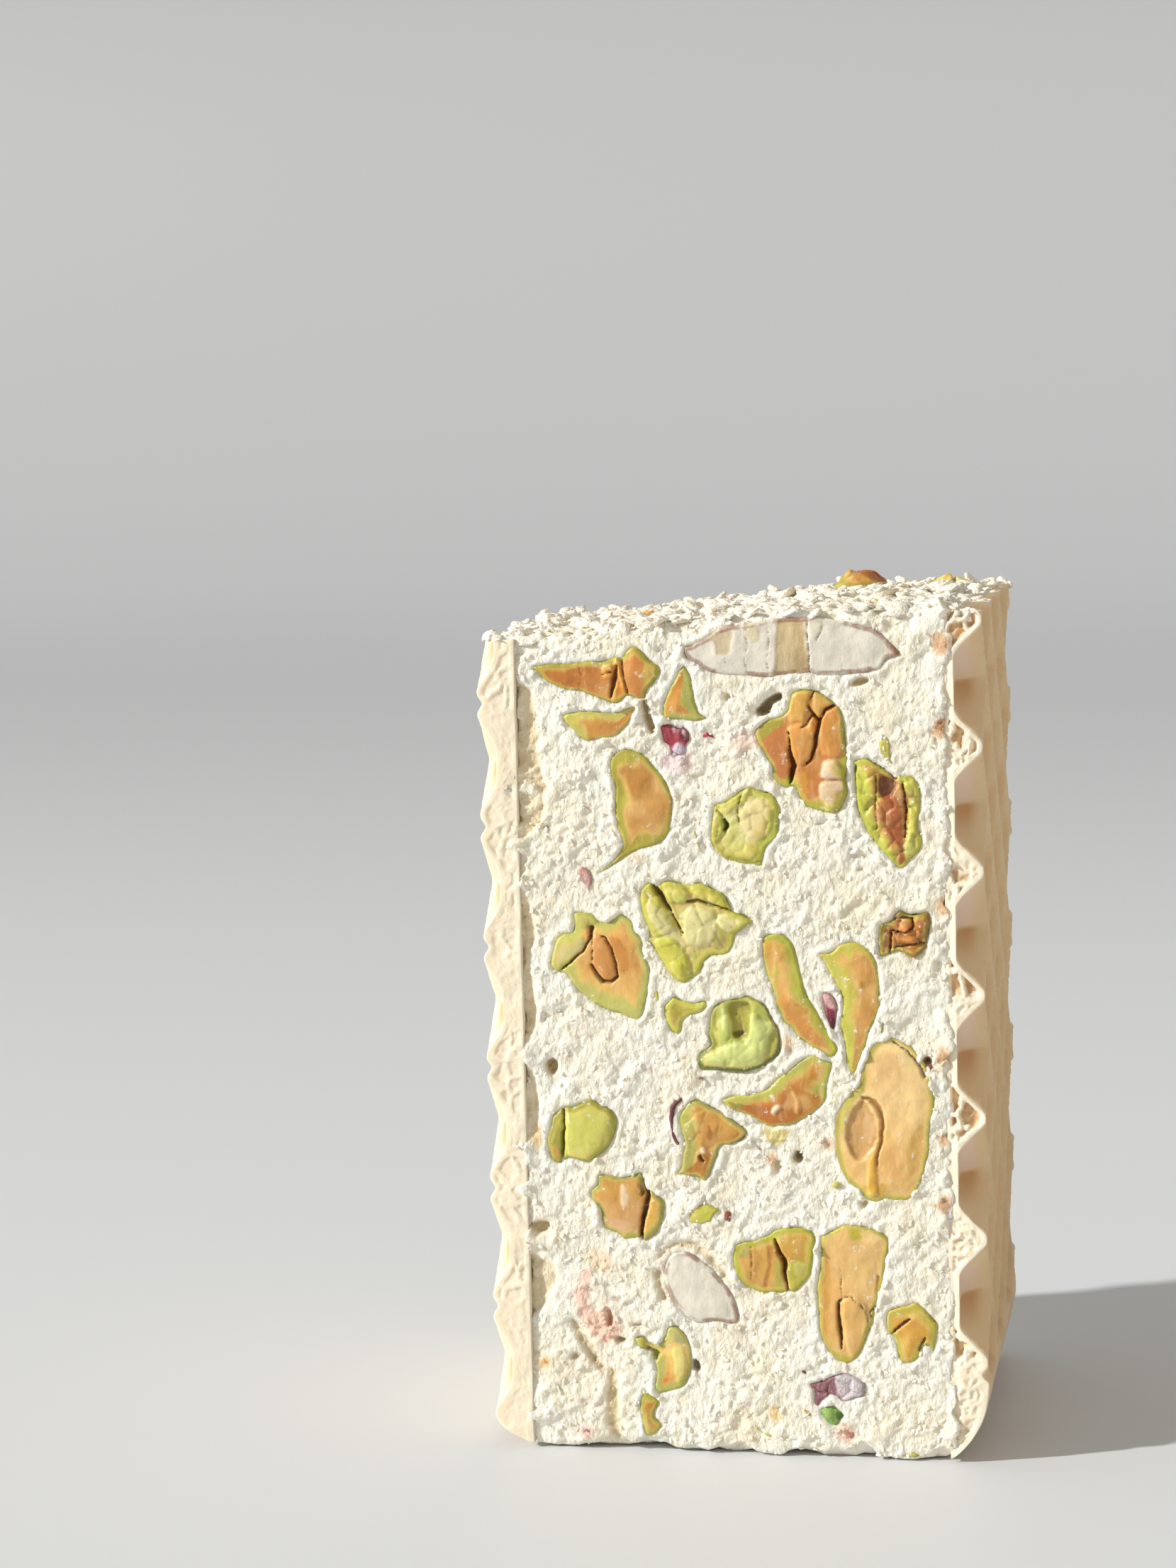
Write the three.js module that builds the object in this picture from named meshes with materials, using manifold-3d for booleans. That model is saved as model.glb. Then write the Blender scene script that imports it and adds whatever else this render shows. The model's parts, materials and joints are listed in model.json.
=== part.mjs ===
// A bar of nut nougat between two waffled wafer sheets, standing on one of its narrow ends.
// Millimetres, +Z up. The origin lies under the middle of the bar, +X points to the right-hand
// wafer and the front cut face looks along -Y. Whole nuts are sunk in pockets of the nougat and cut
// off flush with its faces.

import * as THREE from 'three';
import { mergeVertices } from 'three/addons/utils/BufferGeometryUtils.js';
import Module from 'manifold-3d';

const wasm = await Module();
wasm.setup();

// ---------------------------------------------------------------- driving dimensions

const barWidth = 51; // over the crests of both wafers
const barDepth = 39;
const barHeight = 87;
const clearance = 0.3; // between pieces that touch

const wafer = {
  thickness: 3.7,
  skin: 0.6, // left under a cell
  pitch: 12.5, // from one crossing of the ridges to the next, along the bar
  crest: 1.3, // width of a ridge's top, along the bar
  foot: 6.2, // width of a ridge at the floor of the cells, along the bar
  shoulder: 0.55, // share of the depth where a cell's wall turns towards its floor
  shoulderRidge: 2.9, // width of a ridge there
  inset: 0.2, // of the wafers' cut edges behind the bar's faces
};

const nougat = {
  cells: [11, 9, 21], // facets across, deep and high
  relief: 0.7, // depth of the crags on the upright faces
  topRelief: 1.2, // and on the flakier top
  wander: 0.9, // how far a crag's corner strays along its face
  edgeWear: 1.1, // how much is rubbed off a cut edge
  faceInset: 0.1, // of the highest crags behind the bar's faces
  slump: 2.4, // how much lower the top is at its left front corner
};

const nut = {
  recess: 0.2, // of a nut's rim behind its face of the bar
  dome: 0.2, // rise of its cut face towards the middle
  underside: 0.62, // breadth of its hidden end against its cut face
  overcut: 4, // how far a pocket is cut past the face
};

const nougatWidth = barWidth - 2 * (wafer.thickness + clearance);
const topFace = barHeight - 0.5; // height of the cut faces of the nuts in the top
const baseFace = 0.1; // the nuts underneath stay clear of what the bar stands on

// x and y place a nut's middle on its face, as seen from outside with the bar upright, in mm from
// the face's own middle line and lower edge (from its middle on the top and the base).
// long and wide are the cut section, lean turns its length from level, in degrees.
// egg makes the leading end fatter (or the trailing one, below 0), tip and tail set how pointed the
// two ends are (1 is round), and bend arches the length sideways, in mm.

const frontNuts = [
  { name: 'pistachio_wedge', x: -13, y: 79.7, long: 13, wide: 5.4, lean: -6, egg: 0.45, tail: 2 },
  { name: 'pistachio_half_moon', x: -12.9, y: 74.9, long: 8.5, wide: 3, lean: 7, bend: -1.2 },
  { name: 'pistachio_fin', x: -4.4, y: 77.9, long: 5.6, wide: 4.6, lean: 98, egg: -0.45, tip: 1.8 },
  { name: 'almond_long', x: 6.2, y: 82.2, long: 21, wide: 5.7, lean: 0, tip: 1.1, tail: 1.1, bend: 0.7 },
  { name: 'pistachio_bean', x: -8.9, y: 67.3, long: 10.8, wide: 6.2, lean: -84, bend: 0.9 },
  { name: 'pistachio_cracked', x: 7.9, y: 72.1, long: 13, wide: 8.6, lean: -72, egg: -0.1 },
  { name: 'pistachio_ruffled', x: 16.5, y: 67, long: 11, wide: 6, lean: -64, bend: 0.8 },
  { name: 'pistachio_pale', x: 1.9, y: 64.8, long: 8.6, wide: 6.7, lean: 54 },
  { name: 'pistachio_heart', x: -12.4, y: 50.2, long: 12.4, wide: 9, lean: -52, egg: -0.25, tip: 1.3 },
  { name: 'pistachio_leafy', x: -3.7, y: 54.2, long: 10.8, wide: 9.2, lean: -94, egg: -0.35, tip: 1.3 },
  { name: 'pistachio_chip', x: -5.2, y: 45.9, long: 4.4, wide: 3, lean: 18, tip: 1.4 },
  { name: 'pistachio_round', x: 0.3, y: 43, long: 8.9, wide: 7.8, lean: 34 },
  { name: 'pistachio_banana', x: 5.9, y: 47.5, long: 13.6, wide: 4, lean: -62, tip: 1.3, bend: -1 },
  { name: 'pistachio_hooked', x: 12.2, y: 47.1, long: 12.6, wide: 5, lean: -84, egg: -0.2, bend: 1.3 },
  { name: 'pistachio_folded', x: 17.3, y: 53.7, long: 6.8, wide: 5.2, lean: 31 },
  { name: 'pistachio_large', x: 15.6, y: 34.8, long: 15.8, wide: 9, lean: 89, egg: -0.15 },
  { name: 'pistachio_crescent', x: 4.9, y: 37.8, long: 11.8, wide: 4.3, lean: 25, tail: 1.4, bend: -1.7 },
  { name: 'pistachio_lime', x: -15.9, y: 33.3, long: 7.8, wide: 6.5, lean: 20 },
  { name: 'pistachio_triangle', x: -3.2, y: 32.4, long: 7.8, wide: 6.8, lean: -90, egg: -0.35, tip: 1.5 },
  { name: 'pistachio_split', x: -11, y: 25.4, long: 8.8, wide: 6.8, lean: -34 },
  { name: 'pistachio_pair', x: 4.1, y: 20.3, long: 9, wide: 6.2, lean: 13 },
  { name: 'pistachio_tall', x: 11.4, y: 17, long: 14.2, wide: 6.8, lean: 80, tail: 1.2 },
  { name: 'pistachio_small', x: 17.8, y: 13.2, long: 6.4, wide: 5, lean: 88 },
  { name: 'pistachio_broken_top', x: -6.7, y: 9.6, long: 7.4, wide: 3.8, lean: 75, bend: -0.8 },
  { name: 'pistachio_broken_end', x: -9.3, y: 4, long: 4.8, wide: 2.5, lean: 88 },
  { name: 'almond_short', x: -3.9, y: 16.7, long: 9.4, wide: 5.4, lean: -46, egg: -0.15 },
  { name: 'fruit_bit', x: -5.6, y: 73.7, long: 3.4, wide: 1.8, lean: -14, depth: 2 },
  { name: 'fruit_sliver', x: 9.7, y: 45.4, long: 3.2, wide: 1, lean: -80, depth: 1.6 },
  { name: 'fruit_crumb', x: 10.1, y: 7.3, long: 6, wide: 3.4, lean: -3, depth: 2.4 },
  { name: 'fruit_green', x: 9.4, y: 4, long: 2.8, wide: 2.1, lean: -20, depth: 1.6 },
];

const backNuts = [
  { name: 'pistachio_back_1', x: -12, y: 76.5, long: 12.4, wide: 7, lean: 18, egg: 0.2 },
  { name: 'pistachio_back_2', x: 4, y: 78, long: 10.6, wide: 6.4, lean: -34, tip: 1.3 },
  { name: 'almond_back_1', x: 15.4, y: 70, long: 13.5, wide: 7.4, lean: 76, egg: -0.2, tip: 1.2 },
  { name: 'pistachio_back_3', x: -3, y: 66.5, long: 9, wide: 7.2, lean: 60 },
  { name: 'pistachio_back_4', x: -15, y: 61, long: 11.6, wide: 4.8, lean: -72, bend: 1.2 },
  { name: 'pistachio_back_5', x: 14.2, y: 54, long: 12.6, wide: 6.6, lean: -58, egg: 0.2 },
  { name: 'pistachio_back_6', x: -5.4, y: 53, long: 12, wide: 7.8, lean: 14, bend: 0.8 },
  { name: 'almond_back_2', x: 4.2, y: 41.6, long: 18.6, wide: 6.6, lean: -12, bend: -0.5 },
  { name: 'pistachio_back_7', x: -14.8, y: 42.4, long: 8.6, wide: 6.4, lean: 40 },
  { name: 'pistachio_back_8', x: -9.6, y: 29, long: 14, wide: 7.2, lean: 74, tail: 1.3 },
  { name: 'pistachio_back_9', x: 8.6, y: 29.4, long: 10.4, wide: 7.8, lean: -20, egg: -0.2 },
  { name: 'pistachio_back_10', x: 16.4, y: 18.6, long: 9, wide: 5, lean: 84, bend: -0.7 },
  { name: 'pistachio_back_11', x: -13.6, y: 13, long: 10.8, wide: 6.2, lean: -26, tip: 1.4 },
  { name: 'pistachio_back_12', x: 3.6, y: 10.6, long: 12, wide: 6, lean: 10, bend: -1 },
  { name: 'fruit_back_1', x: 5.6, y: 62, long: 5.2, wide: 3.8, lean: 25, depth: 2.4 },
  { name: 'fruit_back_2', x: 1, y: 20.4, long: 4.6, wide: 3, lean: -30, depth: 2.2 },
];

const topNuts = [
  { name: 'pistachio_top_edge', x: 9.5, y: 15.6, long: 6, wide: 4.4, lean: 5, lift: 0.5, depth: 3 },
  { name: 'pistachio_top_corner', x: 19.3, y: 15.4, long: 4.4, wide: 4, lean: -15, lift: 0.3, depth: 3 },
  { name: 'pistachio_top_1', x: -12.6, y: 3, long: 10.4, wide: 6, lean: 32, egg: 0.2 },
  { name: 'pistachio_top_2', x: 2, y: -4, long: 9.4, wide: 6.2, lean: -20, tip: 1.3 },
  { name: 'almond_top', x: 13.8, y: 1.4, long: 13, wide: 6.2, lean: 64, tip: 1.2 },
  { name: 'fruit_top', x: -3.6, y: 11.6, long: 4.8, wide: 3.4, lean: 20, depth: 2.2 },
];

const baseNuts = [
  { name: 'pistachio_base_1', x: -10.4, y: 3, long: 11, wide: 6.4, lean: 24 },
  { name: 'pistachio_base_2', x: 9, y: -5, long: 12, wide: 6.2, lean: -38, bend: 1 },
  { name: 'pistachio_base_3', x: 7.4, y: 7.4, long: 8.4, wide: 6, lean: 70, egg: 0.2 },
  { name: 'pistachio_base_4', x: -7.6, y: -9.6, long: 9, wide: 5.2, lean: -12, tip: 1.3 },
];

const colours = {
  nougat: { color: '#f7f1de', roughness: 0.8 },
  wafer: { color: '#ecd2a4', roughness: 0.7 },
  pistachio: { color: '#cfa557', roughness: 0.5 },
  almond: { color: '#ebe5d6', roughness: 0.5 },
  fruit: { color: '#973a52', roughness: 0.4 },
};

// ---------------------------------------------------------------- solids and meshes

// Merges a geometry's shared corners, drops the triangles that this leaves flat, and makes it solid.
function solidOf(geometry) {
  const bare = geometry.clone();
  bare.deleteAttribute('normal');
  bare.deleteAttribute('uv');
  const merged = mergeVertices(bare, 1e-4);
  const corners = Array.from(merged.index.array);
  const triangles = [];
  for (let i = 0; i < corners.length; i += 3) {
    const [a, b, c] = corners.slice(i, i + 3);
    if (a !== b && b !== c && c !== a) triangles.push(a, b, c);
  }
  return new wasm.Manifold(new wasm.Mesh({
    numProp: 3,
    vertProperties: new Float32Array(merged.attributes.position.array),
    triVerts: new Uint32Array(triangles),
  }));
}

// The largest body of a solid, without the loose scraps that cutting can leave.
function mainBody(solid) {
  return solid.decompose().sort((a, b) => b.volume() - a.volume())[0];
}

function geometryOf(solid) {
  const { vertProperties, triVerts } = solid.getMesh();
  const geometry = new THREE.BufferGeometry();
  geometry.setAttribute('position', new THREE.BufferAttribute(vertProperties, 3));
  geometry.setIndex(new THREE.BufferAttribute(triVerts, 1));
  const faceted = geometry.toNonIndexed();
  faceted.computeVertexNormals();
  return faceted;
}

function pieceOf(name, solid, look) {
  const piece = new THREE.Mesh(geometryOf(solid), new THREE.MeshStandardMaterial({ metalness: 0, ...look }));
  piece.name = name;
  return piece;
}

// A repeatable number from 0 to 1 for a place in the bar.
function chance(place, salt) {
  const mixed = Math.sin(place.x * 12.9898 + place.y * 78.233 + place.z * 37.719 + salt * 4.1414) * 43758.5453;
  return mixed - Math.floor(mixed);
}

// ---------------------------------------------------------------- nuts

// Bends a round blank, made about its own Y, into the nut's section: its axis becomes the nut's
// depth along Z, X runs along its length and Y across it.
function shapeAsNut(blank, { long, wide, egg = 0, tip = 1, tail = 1, bend = 0 }, margin) {
  const position = blank.attributes.position;
  for (let i = 0; i < position.count; i += 1) {
    const turn = Math.atan2(-position.getZ(i), position.getX(i));
    const reach = Math.hypot(position.getX(i), position.getZ(i));
    const forward = Math.cos(turn);
    const sideways = Math.sin(turn);
    const pointed = THREE.MathUtils.lerp(tail, tip, (1 + forward) / 2);
    const along = (long / 2 + margin) * forward * reach;
    const breadth = (wide / 2 + margin) * (1 + egg * forward) * Math.abs(sideways) ** pointed;
    const arch = bend * (0.5 - (along / (long / 2)) ** 2);
    position.setXYZ(i, along, Math.sign(sideways) * breadth * reach + arch, position.getY(i));
  }
  return blank;
}

// A big nut's outline takes more sides than a crumb's.
function sidesOf(row) {
  return THREE.MathUtils.clamp(Math.round(row.long * 0.5 + 6), 8, 15);
}

function depthOf(row) {
  return row.depth ?? THREE.MathUtils.clamp(row.wide * 0.6, 2.2, 4.6);
}

function nutGeometry(row) {
  const section = [
    new THREE.Vector2(0, -depthOf(row)),
    new THREE.Vector2(nut.underside, -depthOf(row)),
    new THREE.Vector2(1, 0),
    new THREE.Vector2(0, nut.dome),
  ];
  return shapeAsNut(new THREE.LatheGeometry(section, sidesOf(row)), row, 0);
}

// What is cut from the nougat for a nut: its own shape with clearance all round, open at the face.
function pocketGeometry(row) {
  const floor = -depthOf(row) - clearance;
  const section = [
    new THREE.Vector2(0, floor),
    new THREE.Vector2(nut.underside, floor),
    new THREE.Vector2(1, 0),
    new THREE.Vector2(1, nut.overcut),
    new THREE.Vector2(0, nut.overcut),
  ];
  return shapeAsNut(new THREE.LatheGeometry(section, sidesOf(row)), row, clearance);
}

function kindOf(row) {
  return row.name.split('_')[0];
}

// One face's nuts, in a group turned so that its Z points out of the face and its Y up it.
function nutsOnFace(rows, middle, rightward, upward) {
  const face = new THREE.Group();
  const outward = new THREE.Vector3().crossVectors(rightward, upward);
  face.position.copy(middle).addScaledVector(outward, -nut.recess);
  face.setRotationFromMatrix(new THREE.Matrix4().makeBasis(rightward, upward, outward));
  for (const row of rows) {
    const piece = pieceOf(row.name, solidOf(nutGeometry(row)), colours[kindOf(row)]);
    piece.position.set(row.x, row.y, row.lift ?? 0);
    piece.rotation.z = THREE.MathUtils.degToRad(row.lean);
    piece.userData.pocket = pocketGeometry(row);
    face.add(piece);
  }
  face.updateMatrixWorld(true);
  return face;
}

// ---------------------------------------------------------------- nougat

// Where a corner of the block's facets goes: crags on the cut faces and rubbed edges, but flat where
// the wafers lie on it and flat underneath, where it stands.
function craggyPlace(corner, half) {
  const place = corner.clone();
  const onSide = Math.abs(corner.x) > half.x - 1e-3;
  const onFace = Math.abs(corner.y) > half.y - 1e-3;
  const onTop = corner.z > half.z - 1e-3;
  const onBase = corner.z < -half.z + 1e-3;
  const facesMet = [onSide, onFace, onTop || onBase].filter(Boolean).length;
  if (facesMet === 1) {
    if (!onSide) place.x += (chance(corner, 1) - 0.5) * 2 * nougat.wander;
    if (!onFace) place.y += (chance(corner, 2) - 0.5) * 2 * nougat.wander;
    if (!onTop && !onBase) place.z += (chance(corner, 3) - 0.5) * 2 * nougat.wander;
  }
  const wear = facesMet > 1 ? nougat.edgeWear * (0.5 + chance(corner, 4)) : 0;
  if (onFace) place.y -= Math.sign(corner.y) * (nougat.relief * chance(corner, 5) + wear * 0.7);
  if (onTop) place.z -= nougat.topRelief * chance(corner, 6) + wear * 0.6;
  if (onBase && facesMet > 1) place.z += wear * 0.6;
  const leftward = (half.x - corner.x) / (2 * half.x);
  const frontward = (half.y - corner.y) / (2 * half.y);
  if (onTop) place.z -= nougat.slump * leftward ** 2 * frontward;
  return place;
}

function nougatSolid(nuts) {
  const depth = barDepth - 2 * nougat.faceInset;
  const height = barHeight - nougat.faceInset;
  const half = new THREE.Vector3(nougatWidth / 2, depth / 2, height / 2);
  const block = new THREE.BoxGeometry(nougatWidth, depth, height, ...nougat.cells);
  const position = block.attributes.position;
  const corner = new THREE.Vector3();
  for (let i = 0; i < position.count; i += 1) {
    corner.fromBufferAttribute(position, i);
    const place = craggyPlace(corner, half);
    position.setXYZ(i, place.x, place.y, place.z + half.z);
  }
  let solid = solidOf(block);
  for (const piece of nuts) {
    solid = solid.subtract(solidOf(piece.userData.pocket.applyMatrix4(piece.matrixWorld)));
  }
  return mainBody(solid);
}

// ---------------------------------------------------------------- wafers

// One cell of the waffle: a four-sided hollow with steep walls that turn in towards its floor. It
// stands on its corner, so that its diagonals run up and along the sheet.
function cellGeometry() {
  const depth = wafer.thickness - wafer.skin;
  const section = [
    new THREE.Vector2(0, 0),
    new THREE.Vector2((wafer.pitch - wafer.foot) / 2, 0),
    new THREE.Vector2((wafer.pitch - wafer.shoulderRidge) / 2, depth * wafer.shoulder),
    new THREE.Vector2((wafer.pitch - wafer.crest) / 2, depth),
    new THREE.Vector2((wafer.pitch - wafer.crest) / 2, depth + 1),
    new THREE.Vector2(0, depth + 1),
  ];
  return new THREE.LatheGeometry(section, 4).rotateZ(-Math.PI / 2);
}

// A sheet whose waffled side looks along +X and whose flat back is at x = 0. low and high are its
// ends, phase the height of a ridge crossing on its front cut edge, and chips the wedges broken off.
function waferSolid({ low, high, phase, chips }) {
  const width = barDepth - 2 * wafer.inset;
  const sheet = new THREE.BoxGeometry(wafer.thickness, width, high - low);
  let solid = solidOf(sheet.translate(wafer.thickness / 2, 0, (low + high) / 2));
  const columns = Math.ceil((2 * width) / wafer.pitch);
  const rows = Math.ceil((2 * high) / wafer.pitch) + 1;
  const cell = cellGeometry();
  for (let column = 0; column <= columns; column += 1) {
    for (let row = -1; row <= rows; row += 1) {
      if ((column + row) % 2 === 0) continue; // a crossing, not a cell
      const y = -width / 2 + (column * wafer.pitch) / 2;
      const z = phase + (row * wafer.pitch) / 2;
      solid = solid.subtract(solidOf(cell.clone().translate(wafer.skin, y, z)));
    }
  }
  for (const chip of chips) solid = solid.subtract(solidOf(chipGeometry(chip)));
  return mainBody(solid);
}

// A wedge that takes off the outer corner at one end of a sheet, along its whole width.
function chipGeometry({ end, height, reach, outward }) {
  const corner = new THREE.Shape([
    new THREE.Vector2(reach, end - outward),
    new THREE.Vector2(wafer.thickness + 1, end - outward),
    new THREE.Vector2(wafer.thickness + 1, end + height),
    new THREE.Vector2(wafer.thickness, end + height),
  ]);
  const wedge = new THREE.ExtrudeGeometry(corner, { depth: barDepth + 2, bevelEnabled: false });
  return wedge.rotateX(Math.PI / 2).translate(0, barDepth / 2 + 1, 0);
}

const waferEnds = {
  right: { low: 0.4, high: 86.2, phase: 9.6, chips: [{ end: 0.4, height: 6.6, reach: 0.9, outward: 1 }] },
  left: { low: 0.9, high: 83.6, phase: 1.4, chips: [] },
};

// ---------------------------------------------------------------- the bar

const bar = new THREE.Group();

const right = new THREE.Vector3(1, 0, 0);
const up = new THREE.Vector3(0, 0, 1);
const back = new THREE.Vector3(0, 1, 0);
const faces = [
  nutsOnFace(frontNuts, new THREE.Vector3(0, -barDepth / 2, 0), right, up),
  nutsOnFace(backNuts, new THREE.Vector3(0, barDepth / 2, 0), right.clone().negate(), up),
  nutsOnFace(topNuts, new THREE.Vector3(0, 0, topFace), right, back),
  nutsOnFace(baseNuts, new THREE.Vector3(0, 0, baseFace), right, back.clone().negate()),
];
bar.add(...faces);

const nuts = faces.flatMap((face) => face.children);
bar.add(pieceOf('nougat', nougatSolid(nuts), colours.nougat));

const rightWafer = pieceOf('wafer_right', waferSolid(waferEnds.right), colours.wafer);
rightWafer.position.x = nougatWidth / 2 + clearance;

// The left sheet is the same kind of sheet, turned half round so that its waffle looks along -X.
const leftWafer = pieceOf('wafer_left', waferSolid(waferEnds.left), colours.wafer);
leftWafer.rotation.z = Math.PI;
leftWafer.position.x = -nougatWidth / 2 - clearance;

bar.add(rightWafer, leftWafer);

export default bar;
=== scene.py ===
import itertools
import json
import math

import bmesh
import bpy
import numpy as np
from mathutils import Matrix, Vector, geometry

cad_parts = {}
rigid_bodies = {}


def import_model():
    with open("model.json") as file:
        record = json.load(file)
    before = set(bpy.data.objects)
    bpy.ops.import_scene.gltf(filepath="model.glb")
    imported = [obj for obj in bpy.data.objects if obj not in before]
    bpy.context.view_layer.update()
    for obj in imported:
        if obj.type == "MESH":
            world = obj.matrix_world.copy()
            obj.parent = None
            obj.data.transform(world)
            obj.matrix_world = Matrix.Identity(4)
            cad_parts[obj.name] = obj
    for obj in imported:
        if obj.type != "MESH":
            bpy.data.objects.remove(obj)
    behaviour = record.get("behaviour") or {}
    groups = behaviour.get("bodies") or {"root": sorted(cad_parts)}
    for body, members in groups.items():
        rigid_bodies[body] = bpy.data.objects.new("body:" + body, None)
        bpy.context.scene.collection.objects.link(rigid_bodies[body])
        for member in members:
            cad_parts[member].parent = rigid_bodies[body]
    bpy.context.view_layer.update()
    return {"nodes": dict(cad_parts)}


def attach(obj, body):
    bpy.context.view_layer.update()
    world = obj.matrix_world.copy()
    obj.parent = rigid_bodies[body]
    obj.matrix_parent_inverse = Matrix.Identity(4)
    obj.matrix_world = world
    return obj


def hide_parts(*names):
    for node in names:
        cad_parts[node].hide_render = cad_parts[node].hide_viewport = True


for leftover in list(bpy.data.objects):
    bpy.data.objects.remove(leftover)

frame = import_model()
mm = 0.001
print("frame loaded:", len(frame["nodes"]), "nodes")


def hexColour(code):  # sRGB hex to Blender's linear colour
    parts = [int(code[i : i + 2], 16) / 255 for i in (0, 2, 4)]
    linear = [c / 12.92 if c <= 0.04045 else ((c + 0.055) / 1.055) ** 2.4 for c in parts]
    return (*linear, 1.0)


viewpoint = {
    "place": (52.1, -359.8, 113.1),  # mm
    "turn": -11.02,  # degrees, to the left of straight on
    "dip": 7.24,
    "roll": -1.34,
    "lens": 80,
}


def makeCamera():
    turn, dip, roll = (math.radians(viewpoint[k]) for k in ("turn", "dip", "roll"))
    ahead = Vector((math.sin(turn) * math.cos(dip), math.cos(turn) * math.cos(dip), -math.sin(dip)))
    level = Vector((math.cos(turn), -math.sin(turn), 0))
    upright = level.cross(ahead)
    across = level * math.cos(roll) + upright * math.sin(roll)
    rise = across.cross(ahead)
    data = bpy.data.cameras.new("camera")
    data.lens = viewpoint["lens"]
    data.sensor_width = 36
    data.clip_start = 0.01
    camera = bpy.data.objects.new("camera", data)
    axes = Matrix((across, rise, -ahead)).transposed().to_4x4()
    camera.matrix_world = Matrix.Translation(Vector(viewpoint["place"]) * mm) @ axes
    bpy.context.scene.collection.objects.link(camera)
    bpy.context.scene.camera = camera


studio = {
    "sunFrom": (-0.78, -0.38, 0.48),  # towards the light
    "sunPower": 3.9,
    "sunSize": 2.2,  # degrees
    "sunColour": "FBFAF6",
    "sky": 0.45,
    "skyColour": "FFF9EC",
}


def makeLights():
    sun = bpy.data.lights.new("sun", "SUN")
    sun.energy = studio["sunPower"]
    sun.angle = math.radians(studio["sunSize"])
    sun.color = hexColour(studio["sunColour"])[:3]
    lamp = bpy.data.objects.new("sun", sun)
    lamp.rotation_euler = Vector(studio["sunFrom"]).to_track_quat("Z", "Y").to_euler()
    bpy.context.scene.collection.objects.link(lamp)
    world = bpy.data.worlds.new("studio")
    world.use_nodes = True
    sky = world.node_tree.nodes["Background"]
    sky.inputs["Color"].default_value = hexColour(studio["skyColour"])
    sky.inputs["Strength"].default_value = studio["sky"]
    bpy.context.scene.world = world
    bpy.context.scene.view_settings.view_transform = "Standard"


class Wire:  # a socket; the operators add the Math nodes of the sum it is used in
    def __init__(self, tree, socket):
        self.tree, self.socket = tree, socket

    def maths(self, operation, *values):
        return nodeIn(self.tree, "ShaderNodeMath", {"operation": operation}, dict(enumerate(values)))

    def least(self, other):
        return self.maths("MINIMUM", self, other)

    def most(self, other):
        return self.maths("MAXIMUM", self, other)

    def size(self):
        return self.maths("ABSOLUTE", self)

    def step(self, low, high, fromValue=0.0, toValue=1.0):  # smooth step between two values
        ends = {"Value": self, "From Min": low, "From Max": high, "To Min": fromValue, "To Max": toValue}
        return nodeIn(self.tree, "ShaderNodeMapRange", {"interpolation_type": "SMOOTHSTEP"}, ends)


for sign, kind in (("add", "ADD"), ("sub", "SUBTRACT"), ("mul", "MULTIPLY"), ("truediv", "DIVIDE"), ("pow", "POWER")):
    setattr(Wire, f"__{sign}__", lambda wire, other, kind=kind: wire.maths(kind, wire, other))
    setattr(Wire, f"__r{sign}__", lambda wire, other, kind=kind: wire.maths(kind, other, wire))


def nodeIn(tree, kind, settings=None, inputs=None, output=0):  # any node: settings, then its sockets
    node = tree.nodes.new(kind)
    for name, value in (settings or {}).items():
        setattr(node, name, value)
    for name, value in (inputs or {}).items():
        if isinstance(value, Wire):
            tree.links.new(value.socket, node.inputs[name])
        elif value is not None:
            node.inputs[name].default_value = value
    return Wire(tree, node.outputs[output])


def blendColours(tree, share, first, second, blend="MIX"):
    settings = {"data_type": "RGBA", "blend_type": blend}
    return nodeIn(tree, "ShaderNodeMix", settings, {0: share, 6: first, 7: second}, 2)


def tinted(tree, colour, *layers):  # a colour under layers, each its share and its hex colour
    for share, code in layers:
        colour = blendColours(tree, share, colour, hexColour(code))
    return colour


def vectorOf(tree, *parts):
    return nodeIn(tree, "ShaderNodeCombineXYZ", None, dict(enumerate(parts)))


def partsOf(tree, wire):  # its three coordinates
    node = tree.nodes.new("ShaderNodeSeparateXYZ")
    tree.links.new(wire.socket, node.inputs[0])
    return [Wire(tree, socket) for socket in node.outputs]


def attributeIn(tree, name, output="Fac"):
    return nodeIn(tree, "ShaderNodeAttribute", {"attribute_name": name}, None, output)


def noiseIn(tree, place, scale, detail=2.0, roughness=0.5):
    sockets = {"Vector": place, "Scale": scale, "Detail": detail, "Roughness": roughness}
    return nodeIn(tree, "ShaderNodeTexNoise", None, sockets)


def newMaterial(name, soft=0.0, softReach=(1.0, 0.6, 0.3), reach=1.0):
    material = bpy.data.materials.new(name)
    material.use_nodes = True
    tree = material.node_tree
    shader = tree.nodes["Principled BSDF"]
    shader.inputs["Subsurface Weight"].default_value = soft
    shader.inputs["Subsurface Radius"].default_value = softReach
    shader.inputs["Subsurface Scale"].default_value = reach * mm
    place = nodeIn(tree, "ShaderNodeTexCoord", None, None, "Object")
    return material, tree, shader, place


def finish(tree, shader, colour, roughness, height, lift, strength=1.0):
    tree.links.new(colour.socket, shader.inputs["Base Color"])
    tree.links.new(roughness.socket, shader.inputs["Roughness"])
    bump = {"Height": height, "Distance": lift * mm, "Strength": strength}
    tree.links.new(nodeIn(tree, "ShaderNodeBump", None, bump).socket, shader.inputs["Normal"])


# noise for shaping meshes, on points in mm
def scramble(cell, salt):  # a repeatable number from 0 to 1 for each whole-number cell
    keys = cell.astype(np.int64).astype(np.uint32)
    mixed = keys[..., 0] * np.uint32(2366460739) ^ keys[..., 1] * np.uint32(3625232961)
    mixed = mixed ^ keys[..., 2] * np.uint32(3407524671) ^ np.uint32(salt * 2654435761 % 2**32)
    for shift, factor in ((15, 739982445), (12, 695872825), (15, 1)):
        mixed ^= mixed >> np.uint32(shift)
        mixed *= np.uint32(factor)
    return mixed / 4294967296.0


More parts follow.
